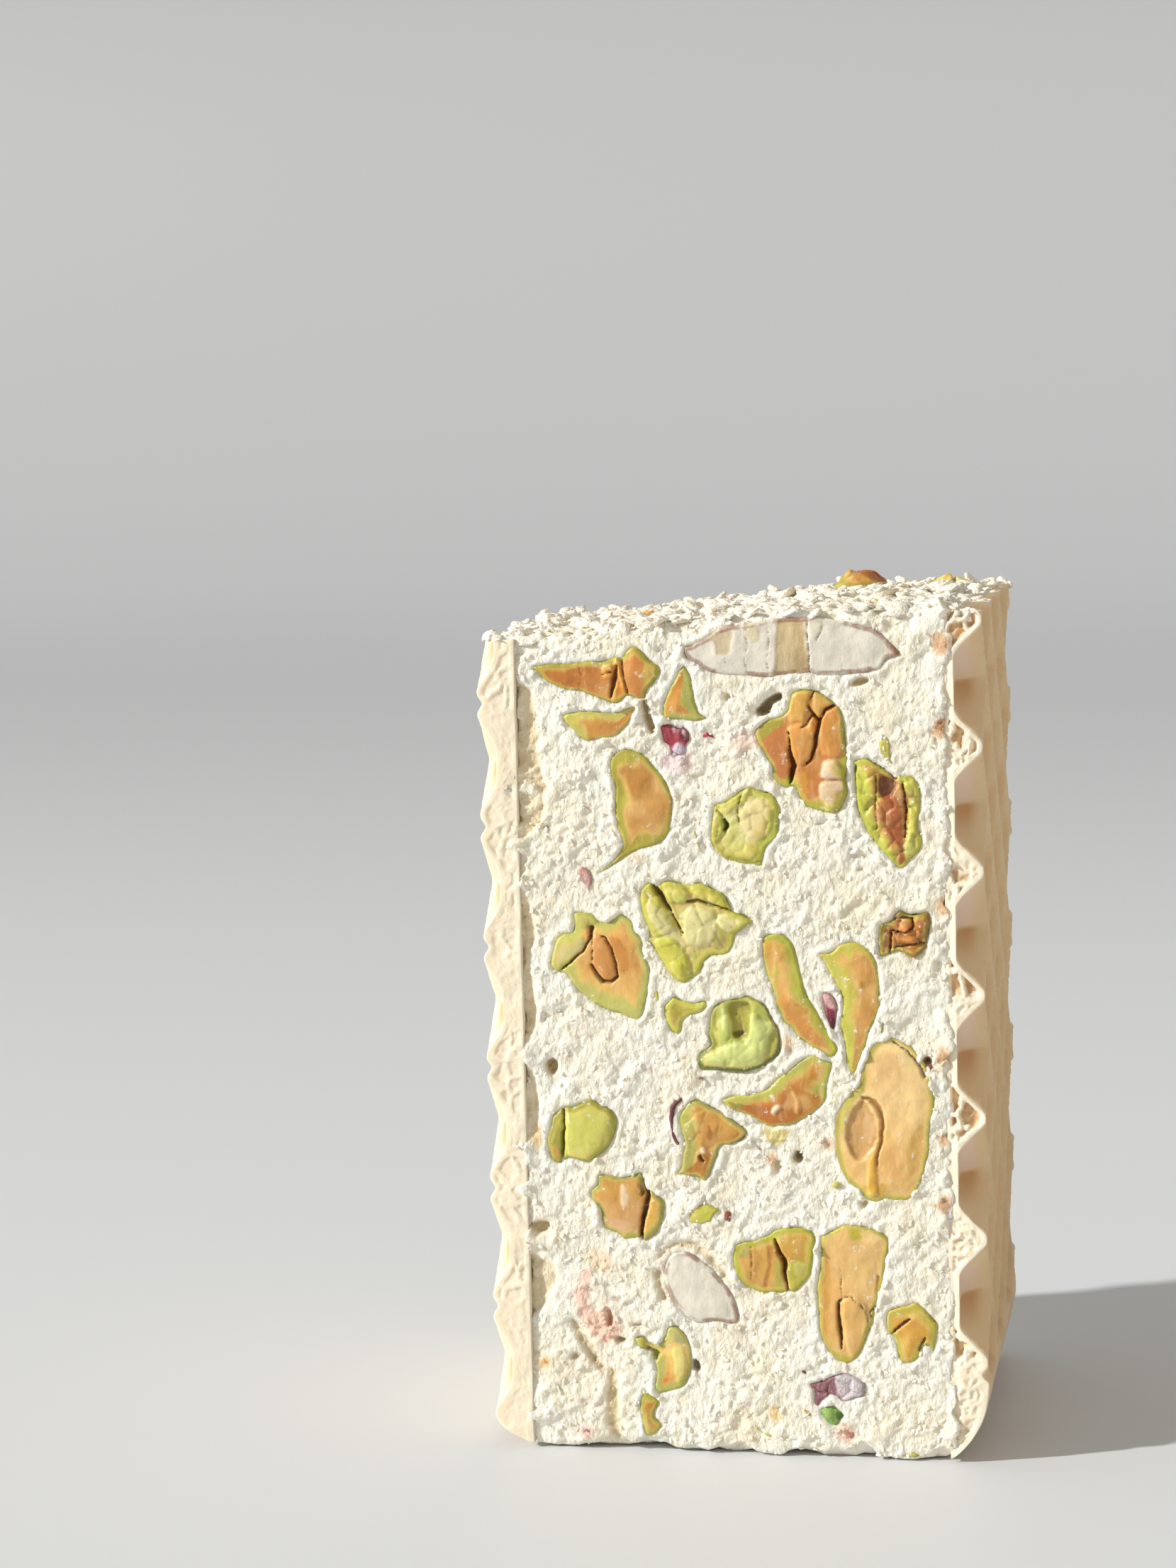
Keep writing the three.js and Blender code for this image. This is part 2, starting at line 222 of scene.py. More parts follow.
def smoothNoise(points, salt):  # -1 to 1
    cell = np.floor(points)
    part = points - cell
    part = part * part * (3 - 2 * part)
    total = np.zeros(len(points))
    for corner in itertools.product((0, 1), repeat=3):
        share = np.prod(np.where(corner, part, 1 - part), axis=1)
        total += share * scramble(cell + corner, salt)
    return total * 2 - 1


def layeredNoise(points, octaves, salt):
    return sum(smoothNoise(points * 2**k + k * 3.7, salt + k) / 2**k for k in range(octaves))


def cellNoise(points, salt):  # distances to the nearest two cell seeds, the way to the first and its own number
    base = np.floor(points)
    near = np.full(len(points), 9.0)
    second = near.copy()
    away = np.zeros_like(points)
    own = np.zeros(len(points))
    for corner in itertools.product((-1, 0, 1), repeat=3):
        cell = base + corner
        seed = cell + np.stack([scramble(cell, salt + k) for k in range(3)], axis=1)
        gap = points - seed
        length = np.linalg.norm(gap, axis=1)
        closer = length < near
        second = np.where(closer, near, np.minimum(second, length))
        near = np.where(closer, length, near)
        away = np.where(closer[:, None], gap, away)
        own = np.where(closer, scramble(cell, salt + 5), own)
    return near, second, away, own


def ease(low, high, values):
    part = np.clip((values - low) / (high - low), 0, 1)
    return part * part * (3 - 2 * part)


sides = {  # the way out of each face, and its own across and up
    "front": ((0, -1, 0), (1, 0, 0), (0, 0, 1)),
    "back": ((0, 1, 0), (-1, 0, 0), (0, 0, 1)),
    "top": ((0, 0, 1), (1, 0, 0), (0, 1, 0)),
    "base": ((0, 0, -1), (1, 0, 0), (0, -1, 0)),
}


def sideOf(name):
    return next((side for side in ("back", "top", "base") if side == name.split("_")[1]), "front")


def outlineOf(name):  # the edge of a node's cut face, in order, and how deep the node goes
    out, across, up = (Vector(v) for v in sides[sideOf(name)])
    work = bmesh.new()
    work.from_mesh(frame["nodes"][name].data)
    bmesh.ops.remove_doubles(work, verts=work.verts, dist=1e-6)
    work.normal_update()
    cut = {face for face in work.faces if face.normal.dot(out) > 0.5}
    links = {}
    for edge in work.edges:
        if sum(face in cut for face in edge.link_faces) == 1:
            for a, b in (edge.verts, reversed(edge.verts)):
                links.setdefault(a, []).append(b)
    start = last = next(iter(links))
    ring, here = [start], links[start][0]
    while here is not start:
        ring.append(here)
        here, last = next(v for v in links[here] if v is not last), here
    levels = [v.co.dot(out) / mm for v in work.verts]
    rim = start.co.dot(out) / mm
    flat = np.array([(v.co.dot(across), v.co.dot(up)) for v in ring]) / mm
    work.free()
    turned = np.roll(flat, -1, axis=0)
    if np.sum(flat[:, 0] * turned[:, 1] - turned[:, 0] * flat[:, 1]) < 0:
        flat = flat[::-1]
    return flat, rim, rim - min(levels)


def smoothRing(corners, spacing):  # a closed curve through the corners, in even steps
    before, after, beyond = (np.roll(corners, k, axis=0) for k in (1, -1, -2))
    t = np.linspace(0, 1, 16, endpoint=False)[:, None, None]
    curve = 0.5 * (
        2 * corners
        + (after - before) * t
        + (2 * before - 5 * corners + 4 * after - beyond) * t**2
        + (3 * corners - before - 3 * after + beyond) * t**3
    )
    curve = curve.transpose(1, 0, 2).reshape(-1, 2)
    return evenSteps(curve, spacing, True)


def evenSteps(line, spacing, closed=False):
    if closed:
        line = np.vstack([line, line[:1]])
    run = np.concatenate([[0], np.cumsum(np.linalg.norm(np.diff(line[:, :2], axis=0), axis=1))])
    count = max(int(round(run[-1] / spacing)), 3)
    places = np.linspace(0, run[-1], count, endpoint=False) if closed else np.linspace(0, run[-1], count + 1)
    return np.stack([np.interp(places, run, line[:, k]) for k in range(line.shape[1])], axis=1)


def oval(x, z, wide, tall, turn=0.0):  # a closed outline, with its half sizes
    way = np.linspace(0, 2 * math.pi, 12, endpoint=False)
    a, b = wide * np.cos(way), tall * np.sin(way)
    cos, sin = math.cos(turn), math.sin(turn)
    return np.stack([x + a * cos - b * sin, z + a * sin + b * cos], axis=1)


def distanceTo(points, ring):
    best = np.full(len(points), 1e9)
    for a, b in zip(ring, np.roll(ring, -1, axis=0)):
        along = b - a
        share = np.clip((points - a) @ along / max(along @ along, 1e-12), 0, 1)
        gap = points - a - share[:, None] * along
        best = np.minimum(best, np.einsum("ij,ij->i", gap, gap))
    return np.sqrt(best)


def insideOf(points, ring):
    crossings = np.zeros(len(points), int)
    for (ax, ay), (bx, by) in zip(ring, np.roll(ring, -1, axis=0)):
        if ay == by:
            continue
        spans = (points[:, 1] > ay) != (points[:, 1] > by)
        crossings += spans & (points[:, 0] < (bx - ax) * (points[:, 1] - ay) / (by - ay) + ax)
    return crossings % 2 == 1


def signedDistance(points, ring):  # positive inside
    reach = distanceTo(points, ring)
    return np.where(insideOf(points, ring), reach, -reach)


def fillRing(ring, inner):  # triangles over a closed ring and loose points inside it
    points = np.vstack([ring, inner]) if len(inner) else ring
    edges = [(k, (k + 1) % len(ring)) for k in range(len(ring))]
    result = geometry.delaunay_2d_cdt([Vector(p) for p in points], edges, [list(range(len(ring)))], 1, 1e-7)
    order = [  # a spot without an origin is where the ring crosses itself: the nearest point stands in
        origin[0] if origin else int(np.argmin(((points - np.array(spot)) ** 2).sum(1)))
        for spot, origin in zip(result[0], result[3])
    ]
    faces = [[order[k] for k in face] for face in result[2]]
    return points, [face for face in faces if len(set(face)) == len(face)]


def scatterInside(ring, spacing, seed):  # a loose grid of points, clear of the ring
    random = np.random.default_rng(seed)
    low, high = ring.min(0), ring.max(0)
    rows = np.arange(low[1], high[1], spacing * 0.87)
    grid = [
        (x, y)
        for k, y in enumerate(rows)
        for x in np.arange(low[0] + (k % 2) * spacing / 2, high[0], spacing)
    ]
    grid = np.array(grid).reshape(-1, 2)
    grid += random.uniform(-0.12, 0.12, grid.shape) * spacing
    return grid[signedDistance(grid, ring) > 0.6 * spacing]


def meshObject(name, points, faces, attributes=None):
    mesh = bpy.data.meshes.new(name)
    mesh.from_pydata(np.asarray(points).tolist(), [], [list(map(int, face)) for face in faces])
    for key, values in (attributes or {}).items():
        colour = values.ndim == 2
        kind = "FLOAT_COLOR" if colour else "FLOAT"
        layer = mesh.attributes.new(key, kind, "POINT")
        layer.data.foreach_set("color" if colour else "value", np.ascontiguousarray(values, np.float32).ravel())
    mesh.polygons.foreach_set("use_smooth", [True] * len(mesh.polygons))
    mesh.validate()
    piece = bpy.data.objects.new(name, mesh)
    bpy.context.scene.collection.objects.link(piece)
    return piece


def place(piece, slot, *nodes):
    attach(piece, "root")
    if nodes:
        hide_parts(*nodes)


def triangles(piece):
    return sum(len(p.vertices) - 2 for p in piece.data.polygons)


def withThird(points, value):
    return np.column_stack([points, np.full(len(points), value)])


def at(text, each=2):  # points written as "across,up across,up"
    return np.array(text.replace(",", " ").split(), float).reshape(-1, each)


def shapes(text, each=2, numbers=1):  # "colour number points / colour number oval x z wide tall"
    made = []
    for item in text.split("/"):
        code, *words = item.split()
        given, words = map(float, words[:numbers]), words[numbers:]
        shape = oval(*map(float, words[1:])) if words[0] == "oval" else at(" ".join(words), each)
        made.append((code, *given, shape))
    return made


lime = "C3C656"
# outline: the cut edge, across and up in mm; lean: where flesh turns to other; rims: width of the green band by the
# way it faces; lobes: a colour, its lift and an outline; cracks: a colour, a depth and points of across, up, half width
nutLooks = {
    "pistachio_wedge": {
        "outline": at("""-19.7,81 -17.5,81.3 -15.4,81.4 -13.5,81.6 -12.6,81.5 -11.2,82 -10.5,81.9 -10.1,82.5
          -9.2,83 -8.4,82.5 -7.6,81.6 -6.6,80.8 -6.6,80.1 -7.2,79.2 -7.9,78.3 -8,77.5 -9.2,77.5 -9.9,77.8
          -10.8,77.1 -11.7,77 -13.4,77.6 -14.7,78.2 -16.4,78.4 -17.8,79 -19.1,79.9"""),
        "flesh": "B4702F", "other": "C98748", "lean": ((-17, 80), (-10, 80)), "green": "A9A23C",
        "rims": {0: 0.5, 30: 0.2, 90: 0.05, 160: 0.2, 180: 1.0, 200: 0.5, 240: 0.3, 280: 0.25, 330: 0.5},
        "lobes": shapes("""CE8A48 .16 -10.1,82.4 -9.2,82.9 -8.4,82.4 -7.7,81.5 -6.8,80.7 -6.8,80.1 -7.4,79.2
          -8.1,78.3 -8.2,77.7 -9.2,77.7 -9.9,78 -10.3,79.2 -10.4,80.8
        / CDB25E 0 -8.2,81.9 -7.4,81.2 -6.8,80.7 -6.9,80 -7.4,79.3 -8.2,78.5 -8.5,79.6 -8.3,81
        / DFA04C .26 -11.3,82 -10.8,82 -10.5,80.8 -10.1,79.4 -10,78.2 -10.4,78.1 -10.8,79.4 -11.2,80.6
        / CF8426 0 -10.8,79 -10.2,78.8 -9.9,77.9 -10.6,77.3 -11,77.6
        / DDA23E .12 -11.4,78.9 -11,79 -10.9,78.2 -11.1,77.4 -11.5,77.2
        / DB9A4C .2 -12.5,80.9 -11.6,81.2 -11.3,80.3 -11.7,79.6 -12.4,79.8"""),
        "cracks": shapes("""6A3610 .8 -11,80.9,.12 -11.3,79.6,.28 -11.6,78.6,.2 -11.7,77.8,.1
        / 6A3610 .4 -10.5,81.5,.05 -10.4,80,.09 -10,78.3,.1 / 6A3610 .4 -12.5,80.1,.05 -11.6,80.3,.12
        / 9A5A22 .12 -14.9,81.2,.04 -14.6,80,.06 -15,78.6,.04""", 3),
    },
    "pistachio_half_moon": {
        "outline": at("""-16.6,76.2 -14.8,76.5 -13,76.5 -11.2,76.4 -10.3,76.8 -8.9,77.1 -9.1,76.4 -9.7,75.3
          -10.4,74.4 -11.3,73.8 -12.7,73.5 -13.8,73.2 -14.7,73.4 -15.7,74.3 -16.8,75.4"""),
        "flesh": "CE9A4C", "other": "C88A48", "lean": ((-15, 74.6), (-11, 76.2)), "green": "C4BC6A",
        "rims": {0: 0.9, 20: 1.4, 90: 0.04, 160: 0.05, 180: 0.35, 240: 0.35, 270: 0.45, 300: 0.9, 330: 1.1},
    },
    "pistachio_fin": {
        "outline": at("""-4.3,81.1 -3.7,80.5 -3.4,79.6 -3.2,78.4 -3.1,77.2 -2.7,76.3 -1.9,75.9 -1,75.7 -2,75.4
          -3.1,75.2 -4.3,75.3 -5.4,75.4 -6.3,75.5 -6.6,76.3 -6.4,77.5 -5.9,78.7 -5.3,79.7 -4.8,80.6"""),
        "flesh": "CF994C", "other": "BC7636", "lean": ((-5, 77), (-3.2, 77.6)), "green": "A9B060",
        "rims": {0: 0.05, 60: 0.1, 90: 0.5, 110: 0.8, 150: 1.0, 200: 1.1, 225: 0.8, 260: 0.05},
    },
    "pistachio_bean": {
        "outline": at("""-11.9,71.7 -11.3,72.3 -10.4,72.7 -9.3,72.5 -8.2,71.9 -7.1,70.5 -6.2,69.2 -5.6,67.8
          -5.6,66.3 -5.8,64.9 -6.1,63.7 -7,62.8 -8.2,62.4 -9.7,62 -10.9,61.3 -12.7,60.1 -13.6,59.7 -13.4,60.2
          -12.1,61.1 -11.4,62 -11,62.9 -11.2,63.9 -11.5,65.1 -11.7,66.6 -11.6,68.5 -12,70.1"""),
        "flesh": "C08C48", "other": "CE9C5C", "lean": ((-11, 66), (-8, 64)), "green": "A39A36",
        "rims": {0: 0.7, 30: 0.6, 60: 0.8, 90: 1.2, 115: 1.6, 150: 0.3, 180: 0.05, 230: 0.3, 250: 1.2, 275: 0.6,
            300: 1.2, 330: 1.2},
        "lobes": shapes("""C8B650 0 -11.8,71.5 -10.8,72.3 -9.9,71.9 -10.8,70.9 -11.6,70.2
        / C9B05A .04 -6.3,66.4 -6,66 -6.5,64.2 -7.6,63.2 -8.2,63.2 -7,64.2
        / B8792F 0 -11.3,65.8 -10.8,65.9 -10.7,64.5 -11,64.2 / 8A4A22 .08 -7.9,72.1 -7.5,72.1 -7.5,71.5 -7.9,71.6"""),
    },
    "pistachio_cracked": {
        "outline": at("""6.4,78.2 7.2,78.6 8.6,78.6 9.5,78.2 10.4,77.6 11.1,77 11.6,76.1 11.9,74.6 12,73 12.2,71.6
          12,70 12,68.2 11.4,66.6 10.4,66 8.6,66.3 7.5,66.9 6.9,67.8 6.6,68.7 5.9,68.4 5,68.8 4.4,69.5 4.2,70.9
          3.6,71.9 3,73 2.6,74.1 3,74.9 4,75.6 5.1,75.8 5.9,76.4 6.2,77.4"""),
        "flesh": "CC8E46", "other": "C07C42", "lean": ((8, 76), (8, 68)), "green": "A9A43C",
        "rims": {0: 0.1, 40: 0.2, 70: 0.5, 100: 0.9, 120: 0.6, 150: 1.0, 170: 0.8, 190: 0.1, 270: 0.05},
        "lobes": shapes("""BD7844 0 2.8,73.4 3,74.8 4,75.5 5.1,75.7 5.8,75.4 5.9,74 6.1,72 6.1,70 6.2,69 5.8,68.6
          5,69 4.5,69.6 4.3,70.9 3.7,71.9
        / A39A3C 0 2.7,74 3.2,74.9 4.2,75.5 5.3,75.7 5.8,75.2 5,74.6 4,73.8 3,73.2
        / D89C52 .26 6.1,74.6 7.2,75.1 7.9,74.9 8.5,75.5 8.9,74.2 8.6,72.8 8.2,71.6 7.4,70.9 6.6,71.7 6.3,73
        / CFA052 .2 6.5,77.9 7.3,78.4 8.4,78.3 8.3,77.2 8.1,76.4 7.8,75.3 7.2,75.3 6.3,75.2 6.2,76.8
        / D3A860 .12 8.8,78.2 9.6,77.8 10.6,77.2 9.8,76.6 9.3,75.8 8.7,76.3 8.6,77.3
        / D1934A .2 9.5,75.8 10.2,76.5 11,76.7 11.5,75.9 11.7,74.5 11.7,72.8 11.4,71.8 10.3,71.7 9.4,72.2
          9.1,73.4 9.2,74.8
        / D0963E .05 7,70.3 8,70.2 8.1,67.7 9.2,66.8 8.6,66.5 7.6,67.1 7,68 6.7,69
        / E3CFBE .35 9.7,71.4 10.9,71.5 11.7,70.3 11.5,69.6 10.6,69.5 9.4,69.6 9.3,70.6
        / DCC3AA .3 9.3,69.2 10.2,69.5 11.6,69.4 11.8,68.3 11.4,67 10.6,66.3 9.9,66.3 9.5,67.2 9.1,68"""),
        "cracks": shapes("""6A3610 1 8.7,78.5,.05 8.5,77.7,.07 8.1,77.3,.05 8.3,76.4,.09 9.2,75.3,.18
          8.9,73.9,.18 8.7,72.6,.14 8.3,71.5,.09 7.6,70.8,.05
        / 6A3610 .9 11.1,77.1,.14 9.8,76.4,.12 9.3,75.5,.12 / 6A3610 .5 8.5,75.9,.1 7.9,75,.09 7.4,74.6,.04
        / 6A2208 1.3 6.1,74.4,.05 6.3,73,.08 6.3,71.8,.2 6.6,70.9,.28 6.3,69.9,.24 6.2,69.2,.1""", 3),
    },
    "pistachio_ruffled": {
        "outline": at("""12.4,71.4 13.6,71.8 14.9,71.3 16.4,70.3 17.2,69.9 18.2,70 19,69.3 19.3,68.4 19.2,66.6
          19.1,65.2 19.4,63.8 19.2,62.6 18.3,61.5 17.2,60.4 16.4,60.8 15.7,61.8 14.9,62.6 14,63.9 13.2,65.1
          12.7,66.4 12.5,68.2 12.3,70"""),
        "flesh": "A8662F", "other": "B87E3C", "green": "B4B948", "rough": 2.0,
        "rims": {0: 1.4, 30: 1.1, 60: 0.5, 90: 0.2, 180: 0.2, 250: 0.2, 300: 0.7, 330: 1.5},
        "lobes": shapes("""AE8B40 .1 12.8,70.6 14,70.8 14.8,70.2 14.6,68 14.5,66 14.7,64.2 14.3,64.1 13.4,65.4
          12.9,67 12.7,69
        / C2A24C .15 13.7,70.8 14.8,70.8 15.2,69.6 14.8,68.4 13.9,68.7
        / 7A4622 -.2 15.1,69.8 16.7,69.4 16.4,67.8 15.2,67.6
        / A65A2C .1 15,67.8 16.6,67.9 17.3,66 17.4,64 17,62.4 16,62.3 15.2,63.6 14.8,65.6
        / C08048 .1 15.1,63.5 16.2,63.6 17.1,62.8 17.1,61.6 16.3,61.4 15.5,62.3
        / A5AC42 .2 17.4,69.6 18.6,69.3 19,68.2 18.4,67.7 17.6,68.4
        / C9CB62 .25 18,67.6 18.8,67.4 18.9,65.4 18.5,63.8 17.8,63.2 17.9,65.4
        / BCC06A .2 17.6,63.4 18.4,63.9 19.1,63.2 18.7,62.2 17.8,61.5 17.4,62.2"""),
        # the dark 4A3A12 line down the left edge is painted shadow
        "cracks": shapes("""3E3410 1 13.2,72,.1 14.2,71.6,.18 15.4,70.8,.16 16.7,69.7,.18
        / 4A3A12 .9 12.6,70.8,.22 12.5,69,.18 12.7,67,.13 13.1,65.2,.1
        / 5A4A1A .6 17.4,69,.1 17.7,66.5,.11 17.5,63.8,.09 / 6A3610 .4 14.8,69.8,.09 14.7,67,.07 14.8,64.5,.05
        / 3A4812 .8 19.2,64.5,.18 19.3,63.9,.14""", 3),
    },
    "pistachio_pale": {
        "outline": at("""-1.6,66.8 -.6,67.4 .4,68 1.2,68.6 2.3,69 3.1,68.6 4.1,68.4 4.9,67.8 5.3,66.4 5.1,65
          4.9,63.7 4,62.9 3.6,61.8 3.3,60.7 2.1,60.8 .2,61.2 -.9,61.6 -1.7,62.6 -2,63.6 -1.9,64.8"""),
        "flesh": "CFCD82", "other": "DAD4A0", "green": "AEB04C", "rough": 1.5,
        "rims": {0: 0.2, 90: 0.7, 130: 0.8, 180: 0.8, 230: 0.4, 270: 0.4, 300: 0.5, 330: 0.3},
        "lobes": shapes("""E0CFA0 .12 1.6,67 3,67.6 4.2,66.8 4.4,65 3.6,63.6 2.4,63.4 1.4,64.6 1.2,66
        / B2B450 .16 -1.6,65.8 -.8,66.2 -.4,65 -.8,63.6 -1.5,63 -1.9,64.2
        / C2C468 .2 -.8,67.1 .8,67.9 2.2,68.6 1.9,67.6 .8,66.6 -.4,66
        / CBCB78 .1 2.4,68.5 3.8,68 4.7,67.2 4.6,66.4 3.6,67.4 2.5,67.8
        / D2CD7C .06 -1,63 1,63.2 2.8,63 3.2,61.6 1.6,61.4 -.4,62"""),
        "cracks": shapes("""3E4A10 1 -.5,65.4,.16 -.3,64.9,.24 -.5,64.4,.14
        / 8A8A38 .35 1.3,68,.05 .9,66.4,.09 1.1,65,.05 / 8A8A38 .3 -1.2,66.4,.05 -.6,65.8,.09
        / A89A48 .15 -1.2,61.9,.1 .6,61.5,.12 2.6,61.2,.14 3.3,61.2,.1""", 3),
    },
    "pistachio_heart": {
        "outline": at("""-16.1,56 -14.9,56.1 -14,55.9 -13.4,55.2 -12.4,55.2 -11.4,56 -10.6,55.6 -10,55.1 -9.5,54.1
          -8.9,53.2 -8.9,52.1 -8.5,51.2 -8.2,50 -8.3,48.7 -8.5,47.4 -8.8,46.1 -9.4,45 -10.1,44.9 -11.4,45.4
          -12.6,45.7 -13.8,46.3 -15,47.2 -16.1,48.1 -16.7,49 -17.2,49.6 -18,49.7 -18.7,50.5 -18.4,51.7 -18.1,53.1
          -17.3,53.9 -16.4,54 -16.1,54.9"""),
        "flesh": "DDAA62", "other": "EAC07A", "lean": ((-12, 51), (-12, 46.5)), "green": "BCBD70",
        "rims": {0: 0.5, 30: 1.0, 60: 1.5, 90: 1.6, 110: 1.8, 150: 1.0, 180: 0.5, 210: 0.4, 270: 0.5, 330: 0.5},
        "lobes": shapes("""C6BE86 .1 -18.1,52.9 -17.3,53.7 -16.3,53.9 -15.3,53.6 -14.8,53 -15.4,51.9 -16.5,50.9
          -17.8,50.1 -18.5,50.6 -18.3,51.8
        / 8E9A5C .1 -16.1,55.9 -15.2,56.1 -14.2,55.9 -13.5,55.2 -14.2,54.5 -15.2,54.3 -16,54.8
        / CF9254 .12 -14.1,53.3 -13.6,53.7 -12.8,53.3 -12.2,52.3 -11.9,50.9 -11.7,49.5 -12.4,49 -13.1,49.1
          -13.8,49.8 -14.2,50.8 -14.1,51.8
        / C88A44 0 -12.4,53.6 -11,53 -10.4,51.4 -10.6,49.8 -11.4,50 -12,52"""),
        "cracks": shapes("""6A3610 .8 -14.3,54.4,.24 -14.4,53.6,.18 -14.6,53,.11 -15.2,52,.11 -16.3,51,.11
          -17.2,50.3,.09 -17.9,49.8,.06
        / 5A1E04 .7 -13.5,53.8,.05 -12.8,53.4,.07 -12.2,52.3,.11 -11.9,50.9,.12 -11.6,49.4,.11 -12.3,48.9,.15
          -13.1,49,.2 -13.8,49.7,.18 -14.3,50.7,.11
        / 6A3610 .4 -14.3,53.6,.09 -14.1,52.4,.05 -14.2,51,.06""", 3),
    },
    "pistachio_leafy": {
        "outline": at("""-9.2,58.3 -8.7,58.9 -8,59.2 -7.3,58.9 -6.8,59.3 -6,59.4 -4.8,59.1 -4,59 -3.1,59.2
          -1.9,58.8 -.9,58.2 -.1,57.4 .4,56.3 1.2,56 2.4,55.3 1.6,54.5 .6,53.8 .3,53 0,52.1 -.9,51.6 -1.9,51.5
          -2.7,50.8 -3.1,49.9 -3.9,49.2 -4.9,48.7 -5.8,49 -6.4,49.7 -7.2,51.1 -7.9,52.3 -8.6,53.1 -8.5,54.1
          -8.9,55.3 -9.3,57.1"""),
        "flesh": "C6B868", "other": "D2C486", "green": "B5B648", "rough": 1.4,
        "rims": {0: 0.2, 90: 0.3, 180: 0.5, 270: 0.4},
        "lobes": shapes("""C0BD58 .18 -9.2,58.2 -8.7,58.8 -8.1,59.1 -7.4,58 -6.5,56.3 -5.6,55 -6,54.2 -7.5,53.4
          -8.4,54.2 -8.8,55.5 -9.2,57
        / D3CB98 .1 -8.3,57.4 -7.6,57 -6,55 -4.6,52.6 -5.4,52.4 -7,53.8 -8.2,55.6
        / C9CA6E .32 -6.9,58.9 -6,59.3 -4.8,59 -4.2,57.9 -4.6,57.1 -5.8,57 -6.5,57.6
        / C2C464 .38 -3.9,58.8 -3,59 -1.9,58.7 -.9,58 -.2,57.3 .3,56.4 -1,56.7 -2.2,57.2 -3.3,57.6 -3.9,58.1
        / D6D09E .16 -4.5,56.4 -3.2,56.6 -1.6,56 -1.4,54 -2.4,52.6 -4,52.6 -4.8,54
        / DED9A6 .32 -1,56 .6,56 2.3,55.3 1.6,54.6 .5,54 -.5,54.1 -1.3,55
        / C7C550 .26 -7.9,53 -6.5,53.7 -4.8,52.4 -4.1,50.4 -4.4,49.2 -5.5,48.9 -6.4,49.8 -7.2,51.2
        / A8AA4E .1 -3.9,51.8 -2,52.2 -1.6,51.8 -2.6,50.6 -3.7,49.6
        / B2A560 .05 -1.6,53.6 .2,53.5 .1,52.2 -.9,51.7 -1.8,52.4"""),
        "cracks": shapes("""5A5412 1 -8,59.4,.1 -7.4,58.3,.28 -6.6,57,.24 -5.9,56,.08 -4.9,54,.06
        / 7E7424 .6 -4.4,57.2,.11 -3.3,57.3,.15 -1.8,56.8,.13 .3,56.2,.08 / 8A8430 .3 -5.6,55.2,.04 -5,53.8,.07""", 3),
    },
    "pistachio_chip": {
        "outline": at("""-7.1,46.5 -6.4,47.3 -5.9,47.8 -5.3,47.3 -4,47 -2.8,47.2 -2.4,46.5 -3.2,45.7 -4.3,45.4
          -5,44.8 -5.2,43.9 -5.7,43.4 -6.4,43.9 -7,45"""),
        "flesh": "A5A23E", "other": "B8A250", "lean": ((-4, 46.4), (-6, 44)), "green": lime,
        "rims": {0: 0.3, 90: 0.2, 180: 0.4},
    },
    "pistachio_round": {
        "outline": at("""-2.4,45.6 -2,46.6 -1.1,47.2 .5,47.5 1.4,47.8 2.4,47.4 3.3,47 3.9,46.2 4.3,45.2 4.8,44.2
          5.1,43 5,42.2 4.8,41.5 4,40.8 2.9,40.1 1.2,39.5 .1,39.5 -1.4,39.8 -3.1,39.7 -3.7,40.4 -3.7,41.2 -3.2,42
          -2.5,42.6 -2.7,43.5 -2.6,44.4"""),
        "flesh": "B2BA62", "other": "C8CE86", "green": "4E661C", "rough": 1.3,
        "rims": {0: 0.4, 30: 0.42, 60: 0.4, 90: 0.34, 120: 0.3, 160: 0.4, 200: 0.1, 240: 0.1, 280: 0.12, 320: 0.3},
        "lobes": shapes("""A39A3E -.35 -.3,46.8 1.8,46.9 1.9,45 1.5,43.4 .2,43.2 -.2,44.8
        / BCC66E .16 -1.9,46.2 -.7,46.8 -.3,45.4 -.3,43.4 -1.2,42.4 -2,43.6 -2.1,45
        / DAD8A0 .1 -1.1,46.2 -.7,46.2 -.6,44.4 -1,44
        / CBD38C .36 1.9,45.8 3.1,45.3 4.1,45 4.3,44.5 3.6,43.2 3.2,41.8 2.8,40.7 .8,40.2 -2.6,40.2 -3.4,40.9
          -3,41.7 -1.5,42.2 0,42.9 1.3,43.1 1.7,44.2
        / A7AE50 .05 3.8,43.9 4.6,43.6 4.7,42.2 4.1,41.4 3.5,41.6 3.6,42.8
        / 6E6A14 -.2 0,43.9 1.2,44 1.1,43.5 .1,43.4
        / 45601A -.1 -2.6,44.4 -2.1,44.5 -1.9,43.4 -2.3,42.8 -2.6,43.4"""),
        "cracks": shapes("""2E2A08 .8 4.4,45.2,.1 4.8,44.2,.2 5,43,.22 5,42.2,.1""", 3),
    },
    "pistachio_banana": {
        "outline": at("""3.2,53.8 3.8,54.1 5.1,54.1 5.9,53.6 6.5,52.4 6.8,51 7.2,49.3 7.8,47.6 8.6,46.2 9.2,45.3
          9.7,44.3 10.3,43.3 10.8,42.4 10.7,41.9 9.9,41.3 9,41.7 7.8,42.4 6.6,43.3 5.8,44.3 5,45 4.5,46.3 3.9,48.3
          3.4,49.9 3.1,51.3 3,52.9"""),
        "flesh": "CF9E4C", "other": "CE8F4E", "lean": ((5, 51), (7.5, 44)), "green": "A9AC3E",
        "rims": {0: 0.1, 60: 0.15, 85: 0.6, 108: 1.7, 130: 1.3, 180: 0.9, 210: 0.8, 240: 0.6, 290: 0.6, 310: 0.5,
            330: 0.1},
        "lobes": shapes("""526A26 .05 5,54 5.8,53.6 6.3,52.6 6.2,51.8 5.8,52.4 5.4,53.2
        / BF7A30 0 8.2,45 8.6,44.9 8.7,43.9 8.3,44 / CFC85C .06 4.2,50.6 4.6,50.6 4.5,48.4 4.2,48.2"""),
    },
    "pistachio_hooked": {
